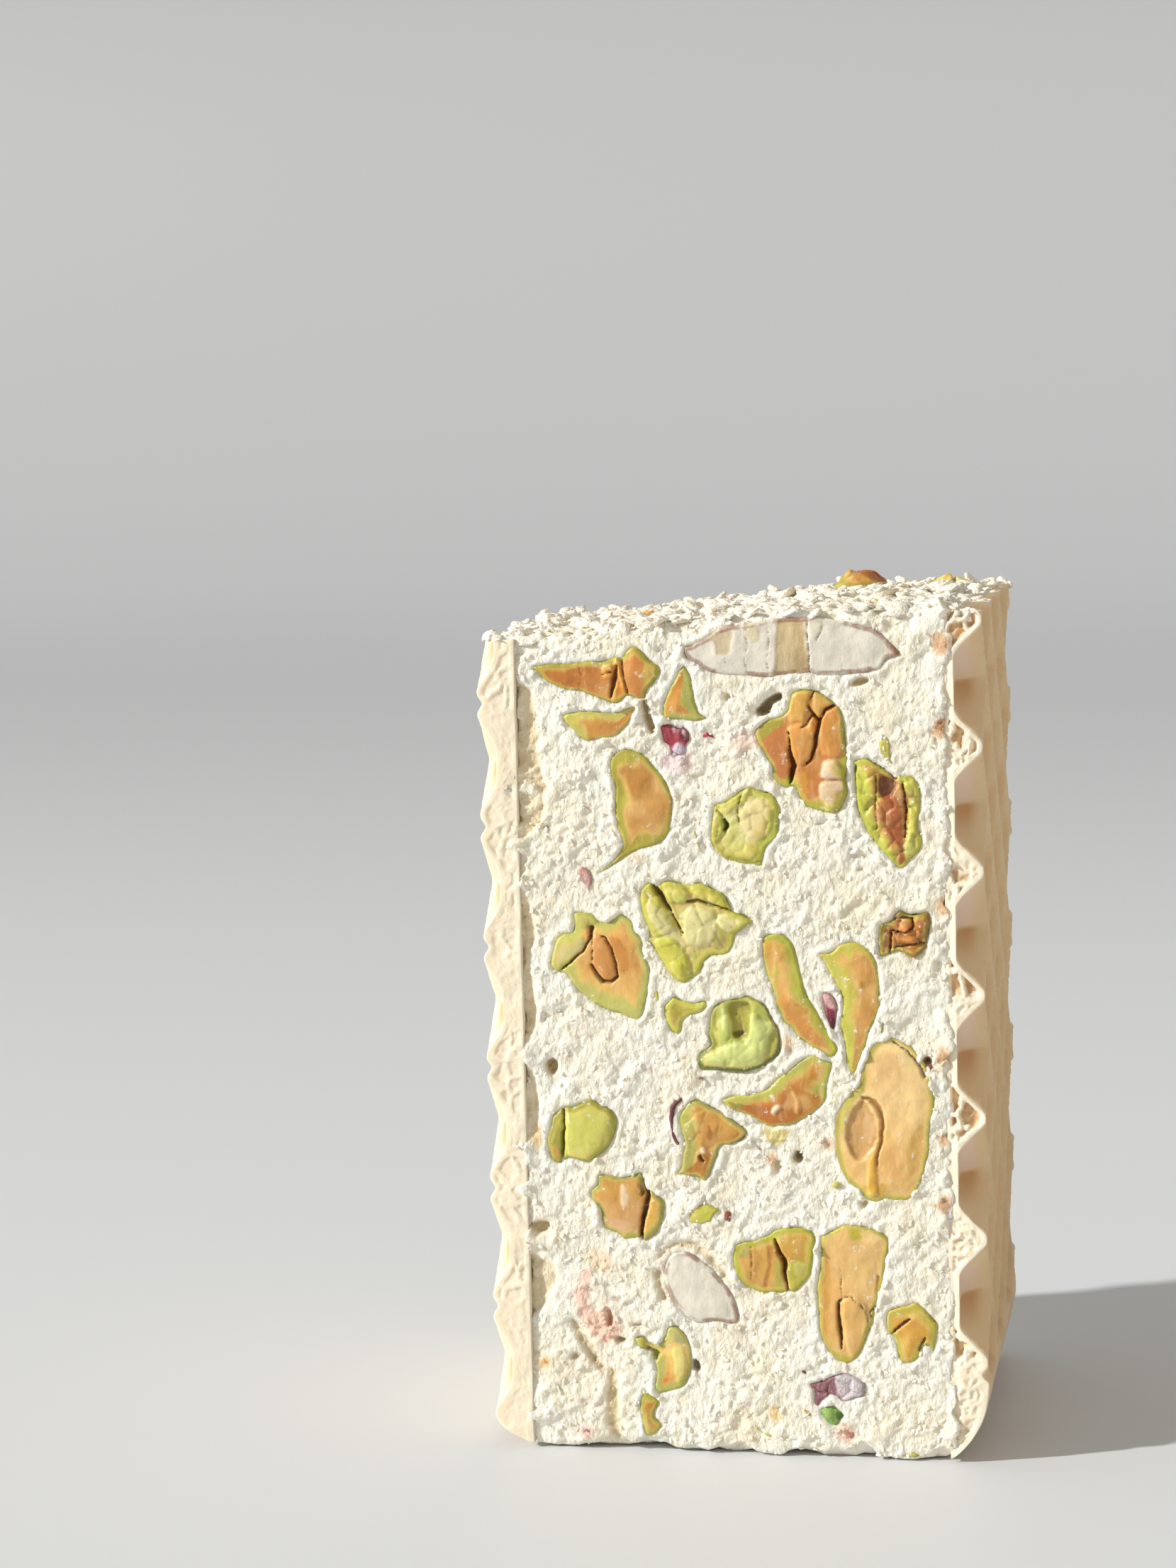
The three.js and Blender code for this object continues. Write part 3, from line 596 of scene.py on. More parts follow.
        "outline": at("""8.7,52 10,52.3 10.9,53 12,53.3 13.1,53.1 14.1,52.3 14.7,51.2 14.9,49.6 15,48.1 14.9,46.5
          14.5,45.3 14,44.2 13.6,42.8 13.1,41.5 12.8,40.5 12.2,39.7 11.7,39.9 11.2,40.9 11.2,42.2 11,43.5 10.7,45
          11,46.6 10.9,47.8 10.4,48.8 9.8,49.9 9.2,51.1"""),
        "flesh": "D0A058", "other": "D6A462", "green": "BDB950",
        "rims": {0: 0.9, 20: 1.2, 45: 1.2, 60: 1.0, 90: 0.8, 120: 0.5, 150: 0.1, 180: 0.04, 250: 0.5, 270: 1.5, 285:
            1.2, 300: 0.8, 330: 0.6},
        "lobes": shapes("""B88A40 -.05 13,49.3 13.5,49.1 13.4,48.5 13,48.6
        / C0883C -.05 12.5,48.3 12.9,48.2 13,47.3 12.7,47.3"""),
        "cracks": shapes("""66681E .4 14.6,45.8,.09 14.2,44.6,.12 13.7,43,.09""", 3),
    },
    "pistachio_folded": {
        "outline": at("""14.6,54.5 15,55.4 15.8,55.5 16.8,56.7 17.7,56.4 18.8,56.3 19.8,56.4 20.1,55.2 20,53.8
          19.5,52.4 18.6,51.3 17.7,51.5 16.9,52.1 15.8,51.8 14.8,51.6 14.6,53"""),
        "flesh": "9C662C", "other": "B57A3A", "green": "7E6A24", "rough": 2.6, "rims": {0: 0.2, 180: 0.3},
        "lobes": shapes("""744A1C -.1 15,54.8 15.8,54.2 15.8,53 15.2,52.6 14.8,53.6
        / B87C40 .34 16,54 17.4,53.9 18.6,53.8 18.4,53.1 17,53 16.2,53.2
        / A86C2C .24 18.4,55.8 19.6,56 19.8,54.6 19,53.8 18.4,54.6
        / A8782C .2 17,52.6 18.8,53 19.5,53 19.1,52.2 18.5,51.6 17.5,51.7
        / CB8C58 .42 15.8,55.1 16.8,55.4 17.8,55 17.9,54.2 17.1,54.3 16.2,54.6
        / D8C08A .1 19.6,55.7 20.1,55.5 20.1,54.6 19.7,54.7"""),
        "cracks": shapes("""6A3610 .7 15.9,52.2,.1 16,53.4,.13 16.1,54.4,.1 17.2,54.1,.1 18.2,54.6,.11
          18.2,55.6,.09
        / 6A3610 .6 16.4,52.7,.11 17.2,52.8,.09 18.8,53.2,.1 19.4,53.2,.07
        / 6A3610 .5 15.9,55.4,.09 17,55.8,.11 18.2,55.6,.09""", 3),
    },
    "pistachio_large": {
        "outline": at("""15.9,43.5 15.1,43.3 14.1,42.7 13.5,41.7 13.1,40.8 13,39.9 12.7,39 11.7,37.7 10.9,36.6
          10.4,35.3 10.3,33.6 10.4,31.9 10.7,30.6 11.3,29.3 12.1,28.4 12.8,27.7 13.6,27.1 14.4,26.9 15.2,27.2
          16.2,27.1 17.3,27.2 18.1,27.9 18.6,29 19.1,30.4 19.5,32.2 19.5,33.6 19.7,34.9 20,36.2 20,37.5 19.8,38.7
          19.5,40 18.9,41.1 18.1,42.3 16.9,43.1"""),
        "flesh": "EBCB98", "other": "E2B97C", "lean": ((15.5, 38), (18, 31)), "green": "B5A652",
        "rims": {0: 0.3, 30: 0.25, 60: 0.2, 90: 0.3, 120: 0.5, 150: 0.6, 180: 0.4, 225: 0.4, 270: 0.4, 315: 0.3},
        # the sunken CA9F66 lobe, lighter to the right in DAB288, is painted shade and light in the hollow
        "lobes": shapes("""D6AE66 0 17.4,32.6 18.8,35 19.2,33 18.6,30.4 17.6,29.6
        / C2BF76 .05 11,36.6 11.9,37.9 12.8,38.8 13.1,38 12.2,36.9 11.4,35.4 10.9,33.6 10.6,34.6
        / A7AB38 .05 12.7,39.6 13.3,39.4 13.3,38.2 12.9,37.9 12.6,38.4
        / CA9F66 -.3 13.1,37.3 12.4,36.9 11.5,35.3 11.2,33.3 11.8,31.6 12.7,30.9 13.6,31.6 14.4,32.8 14.5,34.3
          14.1,35.9
        / DAB288 0 13.4,36 14,35.4 14.2,34 13.9,32.8 13.2,33 13,34.6
        / CDA03C 0 13,28.4 15.2,28.8 15,27.4 14,27.1 13,27.6
        / D7A946 .16 13.8,31.6 14.3,31.8 14.4,30 14.5,28 14.2,27.3 13.5,27.4 13.3,28.6 13.5,30.4"""),
        "cracks": shapes("""AE7228 .4 13,37.5,.1 13.9,37.2,.26 14.7,36.5,.28 15,35.2,.22 14.9,33.4,.22
          14.5,31.8,.13 14.3,30.6,.07
        / 5E2E16 .4 16,43.3,.05 17.3,42.4,.09 18.6,41,.11 19.3,39.8,.24""", 3),
    },
    "pistachio_crescent": {
        "outline": at("""-1.4,36.8 -1,37.2 .1,37.5 1.8,37.7 3.1,38.2 4.2,39.2 5.4,40.1 6.4,41 7.4,41.6 8.2,41.8
          9.2,41.4 10.2,40.9 10,40.2 9.7,39.2 9.5,37.5 9,36.5 8.2,35.7 7,35 5.9,34.4 4.7,34.2 3.4,34.2 2.4,34.7
          .9,35.4 -.5,35.9"""),
        "flesh": "B26C2C", "other": "C08638", "lean": ((3, 37), (8, 40)), "green": "B3B25E",
        "rims": {0: 1.2, 30: 0.4, 45: 0.1, 60: 0.04, 150: 0.05, 180: 1.4, 200: 1.0, 230: 0.5, 260: 0.5, 290: 0.6,
            320: 1.1, 345: 1.4},
        "lobes": shapes("""BA6E32 .05 1.6,37.4 3.2,38 4.8,39 5.6,38 5,36.6 3.4,36 2,36.4
        / 8E8A42 0 -1.3,36.9 0,37.3 1.4,37.4 1,36.4 .2,35.9 -.6,36.1
        / DBA86A .16 5.9,38 6.5,37.6 6.8,36.6 6.6,35.6 6.1,35.8 6.2,36.8
        / EFE2D2 .26 3.7,35.7 3.9,36.2 4.4,36.6 4.8,36.5 4.6,36.1 4.3,35.8 4.1,35.4"""),
    },
    "pistachio_lime": {
        "outline": at("""-15.2,36.6 -14.4,36.7 -13.6,36.3 -12.6,35.8 -12,35 -12,33.9 -12.4,32.5 -13.1,31.5
          -14.3,30.5 -15.1,30 -16.1,30.2 -17.1,30.4 -17.9,29.9 -18.8,30.1 -19.3,31 -19.4,32.5 -19.1,33.8 -18.8,35
          -18.1,35.6 -17.4,36.1 -16.6,36.1"""),
        "flesh": "CACA64", "other": "D0CB78", "green": "98983C",
        "rims": {0: 0.3, 60: 0.2, 90: 0.2, 150: 0.6, 180: 0.8, 210: 0.5, 270: 0.3, 310: 0.5, 330: 0.35},
        "lobes": shapes("""99983E 0 -18.1,35.4 -17.6,35.7 -17.6,33 -17.8,30.5 -18.7,30.5 -19.1,31.6 -19.1,33
          -18.7,34.6
        / C09A4A .06 -19.1,31.8 -18.2,31.9 -18,30.8 -18.7,30.5 -19.1,31
        / CBCA68 .22 -17.1,35.9 -15.2,36.4 -13.8,36.1 -12.6,35.4 -12.3,34 -12.6,32.6 -13.4,31.5 -14.8,30.5
          -16.4,30.5 -17.3,31.2 -17.4,33.4
        / EDE8C8 .08 -17.2,35.8 -16.9,35.8 -16.8,34.4 -17.1,34.4"""),
        "cracks": shapes("""746612 .7 -17.5,36.1,.09 -17.5,34,.12 -17.6,32,.16 -17.8,30.3,.12""", 3),
    },
    "pistachio_triangle": {
        "outline": at("""-5.3,36 -4.7,36.8 -3.8,37 -2.7,36.6 -1.5,35.9 -.5,35.2 .1,34.8 1.2,34.1 1.5,33.4 .8,32.6
          -.4,32.2 -1.4,31.9 -1.6,31.2 -2.1,30.2 -2.5,29.1 -3.3,28.2 -4.1,28.8 -5.5,29 -6.1,29.1 -5.6,30 -5.5,31.1
          -5.3,32.5 -5.7,34 -5.7,35.1"""),
        "flesh": "CB9A52", "other": "BC8038", "lean": ((-3.5, 35), (-4, 30.5)), "green": "A8A560", "rough": 1.4,
        "rims": {0: 1.4, 15: 1.2, 45: 0.2, 90: 0.15, 180: 0.25, 250: 0.2, 280: 0.6, 300: 0.9, 320: 0.5, 345: 1.4},
        "lobes": shapes("""B67E36 .06 -5.4,31.4 -4,31.8 -2.6,31 -2.4,29.8 -3.4,28.9 -5.4,29.3
        / B6702C 0 -2.8,34.4 -2.3,34.2 -2.2,33 -2.8,32.8 / EADCC6 .2 -3.6,32 -3,32 -2.9,31.4 -3.5,31.4"""),
        "cracks": shapes("""6A3610 .6 -3.6,31,.18 -3.3,30.6,.14 / 5E5E24 .4 1.4,33.6,.14 .7,32.8,.16 -.3,32.4,.1
        / A67436 .25 -2.8,36.5,.07 -1.6,35.8,.12 -.5,35.1,.07""", 3),
    },
    "pistachio_split": {
        "outline": at("""-14.2,28.9 -13.3,29.1 -12,28.9 -10.8,29 -9.8,29.4 -9.1,28.5 -8.8,27.7 -7.8,26.9 -7.1,26.3
          -7.3,24.5 -8.1,22.8 -9,22.1 -9.6,21.9 -10.3,22.3 -11.6,22.1 -12.3,22.7 -13.5,23.2 -14,24.2 -14.1,25.2
          -14.8,26.2 -15,27.2 -14.3,28"""),
        "flesh": "CB9B50", "other": "D2A674", "lean": ((-13, 28), (-12, 23)), "green": "A3A05A",
        "rims": {0: 0.15, 60: 0.2, 90: 0.4, 115: 0.7, 140: 0.6, 180: 0.3, 225: 0.4, 270: 0.1, 330: 0.25},
        "lobes": shapes("""E4CBB4 .06 -11.8,27.9 -11.2,27.7 -10.9,26.4 -11.5,25.6 -11.9,26.4
        / DBB08C .03 -13.2,24 -12,24.4 -10.6,23.8 -11,22.5 -12,22.6 -12.8,23.1
        / B5905C 0 -8.9,28.1 -8,27.1 -7.4,26.4 -8,26.8 -8.8,27.1
        / D4A74E .12 -9,27.1 -8,26.8 -7.4,26.1 -7.5,24.6 -8.3,22.9 -9.2,22.5 -9.6,23 -9.3,25.2
        / E4C292 .05 -9.1,26 -8.8,25.8 -9.2,23.8 -9.6,23 -9.5,24
        / 6A3612 -.5 -9.9,28.6 -9.3,28.8 -9.1,27.4 -9.6,26.8 -9.9,27.6"""),
        "cracks": shapes("""6A3610 1.4 -9.2,28.5,.18 -9,26.9,.24 -9.4,25.2,.25 -9.7,23.5,.2 -9.8,22.3,.15""", 3),
    },
    "pistachio_pair": {
        "outline": at("""-.3,22 .8,22.5 1.8,22.6 3,23.1 3.9,23.8 5,24.1 6.4,24.1 7.6,23.8 8.2,22.8 8,21.6 7.9,20.3
          7.6,19 7,18.2 6.2,17.3 5.2,17 3.9,16.9 2.5,16.9 1.6,17.2 .4,17.9 -.3,19 -.5,20.4"""),
        "flesh": "C79A54", "other": "C9A24C", "lean": ((1, 20), (7, 22)), "green": "AEAE3A",
        "rims": {0: 0.4, 30: 0.4, 60: 0.3, 120: 0.2, 150: 0.6, 180: 0.25, 240: 0.2, 270: 0.4, 300: 0.5, 330: 0.9},
        # the last lobe, D2C974, is a painted highlight
        "lobes": shapes("""AA7432 -.05 3,22.9 3.9,23.2 3.8,21 3.4,19 3,17.4 2.6,18 3.1,20
        / A39A52 .02 -.2,21.8 .9,22.2 1.3,21.2 .6,20.6 -.2,20.9
        / B3AA52 0 4.1,20.8 4.7,20 4.7,18.4 4.9,17.3 4,17.3 3.8,19
        / BBBA4E .06 5.3,20.4 6.6,20.6 7.5,20 7.2,18.6 6.2,17.5 5.4,17.4 5.2,19
        / D2C974 .05 5.9,20.4 7.2,20.2 7,19.2 6,19"""),
        "cracks": shapes("""6A3610 1.2 3.9,22.6,.11 4.3,21.5,.22 4.9,20.4,.25 4.9,19.2,.19 5,18.2,.13
          5.2,17.1,.07
        / A87838 .2 1.4,22,.04 1.6,20.6,.07 1.4,18.4,.04""", 3),
    },
    "pistachio_tall": {
        "outline": at("""8.5,23 9,23.5 9.8,23.9 11.1,24.4 12.3,24.5 13.5,24.3 14.4,23.9 15.2,23.5 15.7,22.8
          15.6,21.8 15.3,20.6 15.1,19.4 14.8,18 14.4,16.6 14,15.4 13.8,14.2 13.3,12.7 12.6,11.1 11.9,10.1 10.9,9.7
          9.9,10.2 9,11.2 8.4,12.5 8.2,14.2 8,15.9 8,17.9 8.3,19.6 8.4,21.4"""),
        "flesh": "DDB77C", "other": "D6A96A", "lean": ((12, 18), (9, 17)), "green": "B5A84C",
        "rims": {0: 0.2, 30: 0.3, 50: 0.6, 75: 0.8, 90: 0.8, 105: 0.5, 130: 0.4, 180: 0.15, 270: 0.15},
        "lobes": shapes("""CC9A52 0 8.4,21 9.4,20.6 9.6,17 9.2,13.4 8.8,12.4 8.4,13.6 8.2,17
        / C0B242 0 11.4,24 13.2,24 12.8,23 11.8,22.7 / E0BF8C .05 12.6,23.6 14.6,23.5 14.8,22.6 13.4,22.4
        / DCB272 .16 10.9,16.7 12.2,16.9 13.2,16 13.3,14 12.7,12 11.7,10.6 11,11.6 10.8,13.6 10.6,15.4
        / A6782C -.15 14.1,19.2 14.7,19 14.6,17.2 14.1,16.9"""),
        "cracks": shapes("""6A3610 .9 10.7,16.8,.05 10.3,16.3,.12 10.3,15.2,.15 10.4,13.9,.19 10.5,12.7,.16
          10.6,11.6,.05
        / 6A3610 .25 10.7,16.8,.05 11.6,17,.06 13,15.6,.06 13.3,14.4,.05
        / B88A4A .2 10.6,20.4,.04 10.6,18,.06 10.7,16.8,.05 / 6A3610 .4 13.9,15.9,.12 13.5,15.4,.1 13.7,14.6,.05""", 3),
    },
    "pistachio_small": {
        "outline": at("""15.1,15.5 16,16 17.2,16.3 18.1,16.6 19,16 19.8,15 20.4,14.4 20.3,13.2 20.1,12.2 19.9,11.1
          19.4,11.8 19,12 18.8,11.4 18.3,10.5 17.3,10 16.3,10.4 16,11.8 15.7,12.9 15.2,13.1 15,14.1"""),
        "flesh": "CEA446", "other": "CA9442", "lean": ((17, 12), (18, 16)), "green": "BAAF4A",
        "rims": {0: 0.3, 45: 0.2, 90: 0.3, 150: 0.4, 180: 0.5, 240: 0.7, 270: 1.0, 300: 0.5},
        "lobes": shapes("""DBB87A .04 17.4,15.4 18.2,15.3 18,14.6 17.4,14.8"""),
        "cracks": shapes("""6A3610 .7 15.5,13.1,.06 16.7,14.2,.15 17.5,14.8,.09
        / 6A3610 .6 19,12.9,.09 18.7,12.4,.15 18.4,11.7,.09""", 3),
    },
    "pistachio_broken_top": {
        "outline": at("""-10.8,12 -9.9,12.3 -9.2,11.7 -8.5,11.5 -7.7,12.2 -7.4,13.2 -6.4,13.5 -5.4,12.6 -4.8,11.2
          -4.7,9.6 -5,7.9 -5.8,6.8 -7.2,6.3 -8.4,6 -8.9,6.8 -8.6,8.4 -8.9,9.5 -9.6,10.4 -10.4,10.8"""),
        "flesh": "D6924C", "other": "DBBE70", "lean": ((-8.4, 8.5), (-6, 9.5)), "green": "AEB066",
        "rims": {0: 0.8, 30: 0.9, 60: 1.4, 90: 1.2, 120: 0.5, 150: 0.6, 180: 0.05, 270: 0.2, 320: 0.6},
        "lobes": shapes("""B2B280 .1 -7.3,13 -6.4,13.2 -5.5,12.4 -5.2,11.5 -6.4,11.6 -7.2,12
        / DCCF88 .1 -6.8,11 -5.8,11.1 -5.3,9.6 -5.5,8 -6.2,7.2 -6.6,8.4 -6.7,9.8
        / C97A34 -.05 -8.6,9.8 -7.6,10.3 -7,9.4 -7.2,7.8 -8,6.8 -8.5,7.4 -8.4,8.6
        / ACA634 .16 -10.7,11.9 -9.8,12.1 -9.6,11.2 -10.2,10.9
        / 4E320A -.8 -9.6,11.1 -8.9,11 -8,10.4 -8.6,9.4 -8.9,10 -9.4,10.4"""),
    },
    "pistachio_broken_end": {
        "outline": at("""-9.8,6.7 -9.2,6.2 -8.2,5.4 -8.5,4.6 -8.7,3.7 -8,2.9 -8.8,1.8 -9.8,1.5 -10.2,2.5 -10.2,3.7
          -10.5,4.7 -10.2,5.9"""),
        "flesh": "B67830", "other": "ABA23E", "lean": ((-9.5, 5), (-9.3, 2)), "green": "A9A83E",
        "rims": {0: 0.15, 90: 0.1, 180: 0.1, 270: 0.7},
    },
    "almond_long": {
        "outline": at("""-4.4,82.6 -4,83 -3.1,83.3 -2.1,83.8 -1.3,84.4 -.2,84.9 .9,85.1 1.8,85.2 3,85.4 4.9,85.6
          6.4,85.8 8.3,85.8 9.6,85.8 10.9,85.6 12.1,85.3 13.3,85 14.6,84.6 15.6,84.1 16.4,83.2 17.3,82.3 17.5,81.8
          16.7,81.5 16,81.2 15.3,80.4 14.6,80.1 13.7,79.9 12.3,79.8 11.1,79.7 9.5,79.7 8.2,79.9 6.9,79.8 4.9,79.6
          2.7,79.6 1.4,79.7 -.2,79.8 -1.2,79.9 -2,80.2 -2.9,80.8 -3.8,81.3 -4.4,82"""),
        "lobes": shapes("""C2B290 -.1 -1.8,84.1 -.4,84.5 .8,84.2 .6,83 .3,82 -.9,82 -1.2,83.1 -1.8,83.5
        / EDE6DC .1 -1.2,84.4 -.3,84.8 .4,84.8 .2,84.4 -.8,84.2
        / D2C6A6 .04 2,85 2.8,85.1 3.4,84.6 3.3,83.4 2.6,83.1 2,83.8
        / C2AE82 -.1 5.4,85.5 6.6,85.7 7.8,85.6 8.1,84.5 8,83 8.2,81.8 8.1,80.2 6.5,79.9 4.6,79.8 4.9,81 4.9,82.5
          5,84.3
        / B9A276 0 6.8,85.5 7.8,85.5 8,83 8.1,80.4 7,80.2 6.6,83
        / DAD2BC .08 8.3,85.6 9.6,85.5 9.6,84.4 9,83.4 8.4,83.6
        / CDB8AC .06 15.8,83.8 16.6,83 17.2,82.1 16.6,81.7 15.9,82.1
        / 8E5A4A .1 16.4,82.9 16.9,82.6 17.3,82 16.9,81.8 16.5,82.2"""),
        "cracks": shapes("""BDB6A2 .18 4.2,85.2,.04 4.4,83.4,.06 4.1,81.6,.04 4.3,79.9,.04
        / A89A7C .3 8.2,85.6,.05 8.1,84.4,.07 8.3,82.6,.06 8.3,80.2,.08
        / BDB6A2 .15 9.7,85.5,.03 9.6,84.4,.05 9,83.2,.04
        / BDB6A2 .15 1.9,85,.03 2.2,83,.05 1.8,81.4,.04 2.2,79.9,.03 / BDB6A2 .12 -.2,82,.03 0,81,.05 -.4,80,.03""", 3),
    },
    "almond_short": {
        "outline": at("""-7.3,20.4 -6.6,21.1 -5.6,21.3 -4.8,21.2 -3.9,20.7 -2.9,19.8 -1.9,18.9 -.9,17.7 -.3,16.5
          .2,14.9 .1,13.9 -1,13.5 -2,13.8 -3.2,13.7 -4.4,13.6 -5.2,14.1 -6,14.9 -6.8,15.7 -7.3,16.9 -7.7,18.1
          -7.6,19.3"""),
    },
    "fruit_bit": {
        "outline": at("""-7,74.9 -6.4,75.3 -5.6,75.2 -5,74.8 -4.4,75 -3.8,74.4 -3.6,73.4 -4,72.9 -4.2,72.2
          -4.8,71.8 -5.6,72.1 -6.1,72.8 -6.6,73.2 -6.8,74.2"""),
        "flesh": "B2404C", "other": "9A2C3C",
        # the small E0BECA lobe is a painted highlight on the dark part
        "lobes": shapes("""5E1222 .12 -5,74.3 -4.8,74.8 -4.2,74.9 -3.8,74.3 -3.7,73.5 -4.2,73.1 -4.8,73.6
        / E0BECA .1 -4.5,74.5 -4.2,74.5 -4.2,73.9 -4.5,74
        / D6CEDC .22 -5.4,73 -4.6,73.2 -4.1,72.6 -4.4,72 -5.2,71.9 -5.6,72.4
        / D6A8B0 .1 -5.6,75 -5,75.1 -4.9,74.4 -5.4,74.1"""),
    },
    "fruit_sliver": {
        "outline": at("""9,47.9 9.8,48.1 10.5,47.4 10.8,46.4 10.7,45.4 10.5,44.2 10.4,43.2 9.9,43.9 9.4,45 9.1,46.2"""),
        "flesh": "8A2440", "other": "5E1428", "lean": ((9.6, 46.6), (10.2, 44)),
        "lobes": shapes("""DAB0AE .1 9,47.8 9.9,48 10.6,47.2 10.6,46.4 9.9,46.4 9.3,46.9"""),
    },
    "fruit_crumb": {
        "outline": at("""7.1,7.7 8.4,8.2 9.1,8.6 10,9 11.2,9 12.4,8.6 13.1,7.6 12.8,6.6 11.8,6.2 10.6,5.8 9.6,6.6
          8.7,5.9 8,5.1 7.5,5.7 7.5,6.8"""),
        "flesh": "986A72", "other": "8A5A62", "rough": 2.4,
        "lobes": shapes("""CFC8CC .16 9.9,8.8 11.2,8.9 12.4,8.5 13,7.6 12.7,6.7 11.8,6.3 10.6,6.1 10,7 9.8,8
        / 4E2622 -.1 8.6,8.4 9.2,8.5 9.1,8 8.7,7.9 / 7A3C46 -.1 8.8,7.2 9.4,7 9.2,6.6 8.8,6.7"""),
    },
    "fruit_green": {
        "outline": at("""8.1,5 8.6,5.5 9.2,5.7 10,5.4 11,4.6 10.6,3.9 9.8,3.2 8.8,3.7 8.3,4.3"""),
        "flesh": "7BA84A", "other": "6A943A",
        "lobes": shapes("""96B85E .12 8.5,4.9 9.2,5.3 9.7,4.7 9.2,4.1 8.7,4.3
        / 3E6416 -.1 10,4.9 10.7,4.7 10.8,4.3 10.3,3.9 9.9,4.3"""),
    },
    "fruit_back_1": {"flesh": "5A1A2C", "other": "2C0E1A"},
    "fruit_back_2": {"flesh": "9A2A44", "other": "5A1426"},
    "fruit_top": {"flesh": "8C2038", "other": "5A1426"},
    "pistachio_top_edge": {
        "flesh": "A85F1A", "other": "6E3008", "green": "9A8020", "dome": 1.5, "rough": 1.8,
        "rims": {0: 0.1, 90: 0.4, 180: 1.0, 270: 0.6},
    },
    "pistachio_top_corner": {
        "flesh": "D5D58E", "other": "C2C26A", "green": "A9B060", "dome": 0.7, "rough": 1.6,
        "rims": {0: 0.4, 180: 0.8},
    },
}
chips = {  # small loose bits in the front: a colour, a depth and an outline each
    "pistachio": shapes("""A9AC2C .9 -8.1,48.2 -7.4,48.2 -7.2,47 -7.4,45.9 -7.9,46.8
    / B7B34C .9 15,73.2 15.7,73.8 16.3,73.5 16.4,72.1 16.7,70.4 15.6,71.5 15,72.1
    / A7A65C .9 14.6,43.5 14.8,45.3 15.2,46.3 15.5,45.4 15.2,43.8 14.9,43.1
    / C5C454 .9 -4.9,25.6 -4.3,26.2 -3.3,26.4 -2.3,26.2 -1.5,25.6 -2,25 -2.8,24.1 -4.7,24.1
    / B7B67A .9 9.6,28.6 10.3,28.9 11,28.4 10.4,27.9 9.8,28 / AEAC62 .9 11.3,28 12.1,27.8 12,27.3 11.4,27.4
    / D0C472 .9 1.2,3.1 1.9,3.3 2.4,2.7 3.6,2.5 4,1.9 3,1.8 1.9,2.4
    / C58A34 .9 4.9,8.6 5.2,8.2 4.9,7.2 4.6,6.1 4.2,6.2 4.5,7.7 / D89C44 .9 6.1,5.3 7,5.1 7.8,4.1 6.8,4.2
    / C4B46A .9 15.8,.6 17.2,1 18.7,.6 17.6,.3 16.2,.2 / C2B882 .9 -15.2,37.4 -14.5,37.2 -13.8,36.4 -14.9,36.5
    / D2D296 .9 -3.8,64.5 -3.4,64.4 -2.8,62.1 -3.3,62.3"""),
    "fruit": shapes("""B82634 .9 -2.7,73.6 -2.2,74.4 -1.5,74.1 -.5,73.3 -1.8,73.6
    / CBA494 .9 -15.6,60.3 -15,60.8 -14.2,60.3 -13.8,59.3 -14.4,57.8 -14.8,58.5 -15.4,59.2
    / 6E3840 .9 -6.8,35.2 -6.5,36.5 -5.4,37.2 -4.5,37.5 -4,37.1 -5,36.7 -5.8,35.9 -6,34.6 -5.9,33.3 -5.4,32.5
      -5.8,31.9 -6.4,32.5 -6.7,33.8
    / 8A4A48 .9 6.1,9.2 6.6,9.5 7.1,9 6.9,8.5 6.3,8.7 / A88488 .9 -16.4,2.2 -15.9,2.4 -15.3,2 -15.6,1.4 -16.1,1.7
    / 8A4C3E .9 19.4,41.2 20.1,41 20.2,40.2 19.6,40.1 / AC7C80 .9 -3.8,39.5 -3,39.4 -2.9,38.9 -3.7,38.8
    / CC8E7A .9 2.1,32.2 2.8,32.1 2.7,31.6 2.2,31.8 / 8A4E32 .9 -1.2,25.4 -.5,25.5 -.3,24.8 -.6,24.2 -1.3,24.5
    / BC866A .9 10.9,4.1 11.3,3.2 11.9,2.9 11.8,2.2 11,2 10.3,2.9 10.4,3.2
    / A06C54 .9 9.1,32.9 9.6,32.9 9.7,32.4 9.2,32.3"""),
}
fleshes = ("CC9A54", "D8A968", "D2A05A", "C98748", "DCB272", "B8702F", "CEA446")
greens, paleKinds = ("A9A43C", "B5A84C", "BCBD70", "8C8830"), ("CAC674", "B2BA62", "CFCD82", "A5A23E")
crackBrown = "6A3610"
nutShape = {
    "frontStep": 0.15, "hiddenStep": 0.22, "chipStep": 0.14,  # steps of the mesh, mm
    "grow": 0.2, "wobble": 0.1,  # of the edge, out of its outline
    "proud": 0.02, "roundOver": 0.16, "dome": 0.17, "domeReach": 2.0,  # of the cut face
    "swell": 0.1, "ripple": 0.05, "facets": 0.3, "seams": 0.14, "seamWidth": 0.12,
    "underside": 0.62, "rings": 5,  # the hidden end against the cut face, and the rings down to it
    "chipProud": 0.08,
}
nutPaint = {
    "glow": {"pistachio": (1.09, 1.09, 0.95), "almond": (1.1, 1.1, 1.1), "fruit": (1.1, 1.1, 1.1)},
    "flesh": {"pistachio": "CC9A54", "almond": "DAD4C6", "fruit": "CC9A54"},
    "drifts": ((1, 0.4, "EFCB92"), (-1, 0.3, "C07C34")),  # paler and darker flesh
    "bands": ((0.75, 1.5, 0.6, "DCC070"), (0.45, 1.0, 0.9, None)),  # yellow, then the nut's own green
    "bandWidth": 1.3, "lime": ("C4C45A", 0.4),
    "skins": {  # colour, strength, where it starts, how far it fades, how broken it is
        "pistachio": ("6E7426", 0.35, 0.2, 0.14, -0.1), "almond": ("8A5E4A", 0.75, 0.36, 0.12, -0.5),
        "fruit": ("4A1420", 0.4, 0.2, 0.24, -0.1),
    },
    "crackShade": "3A1A06",
}
nodeShapes = {
    name: outlineOf(name) for name in sorted(frame["nodes"]) if name.split("_")[0] in nutPaint["flesh"]
}


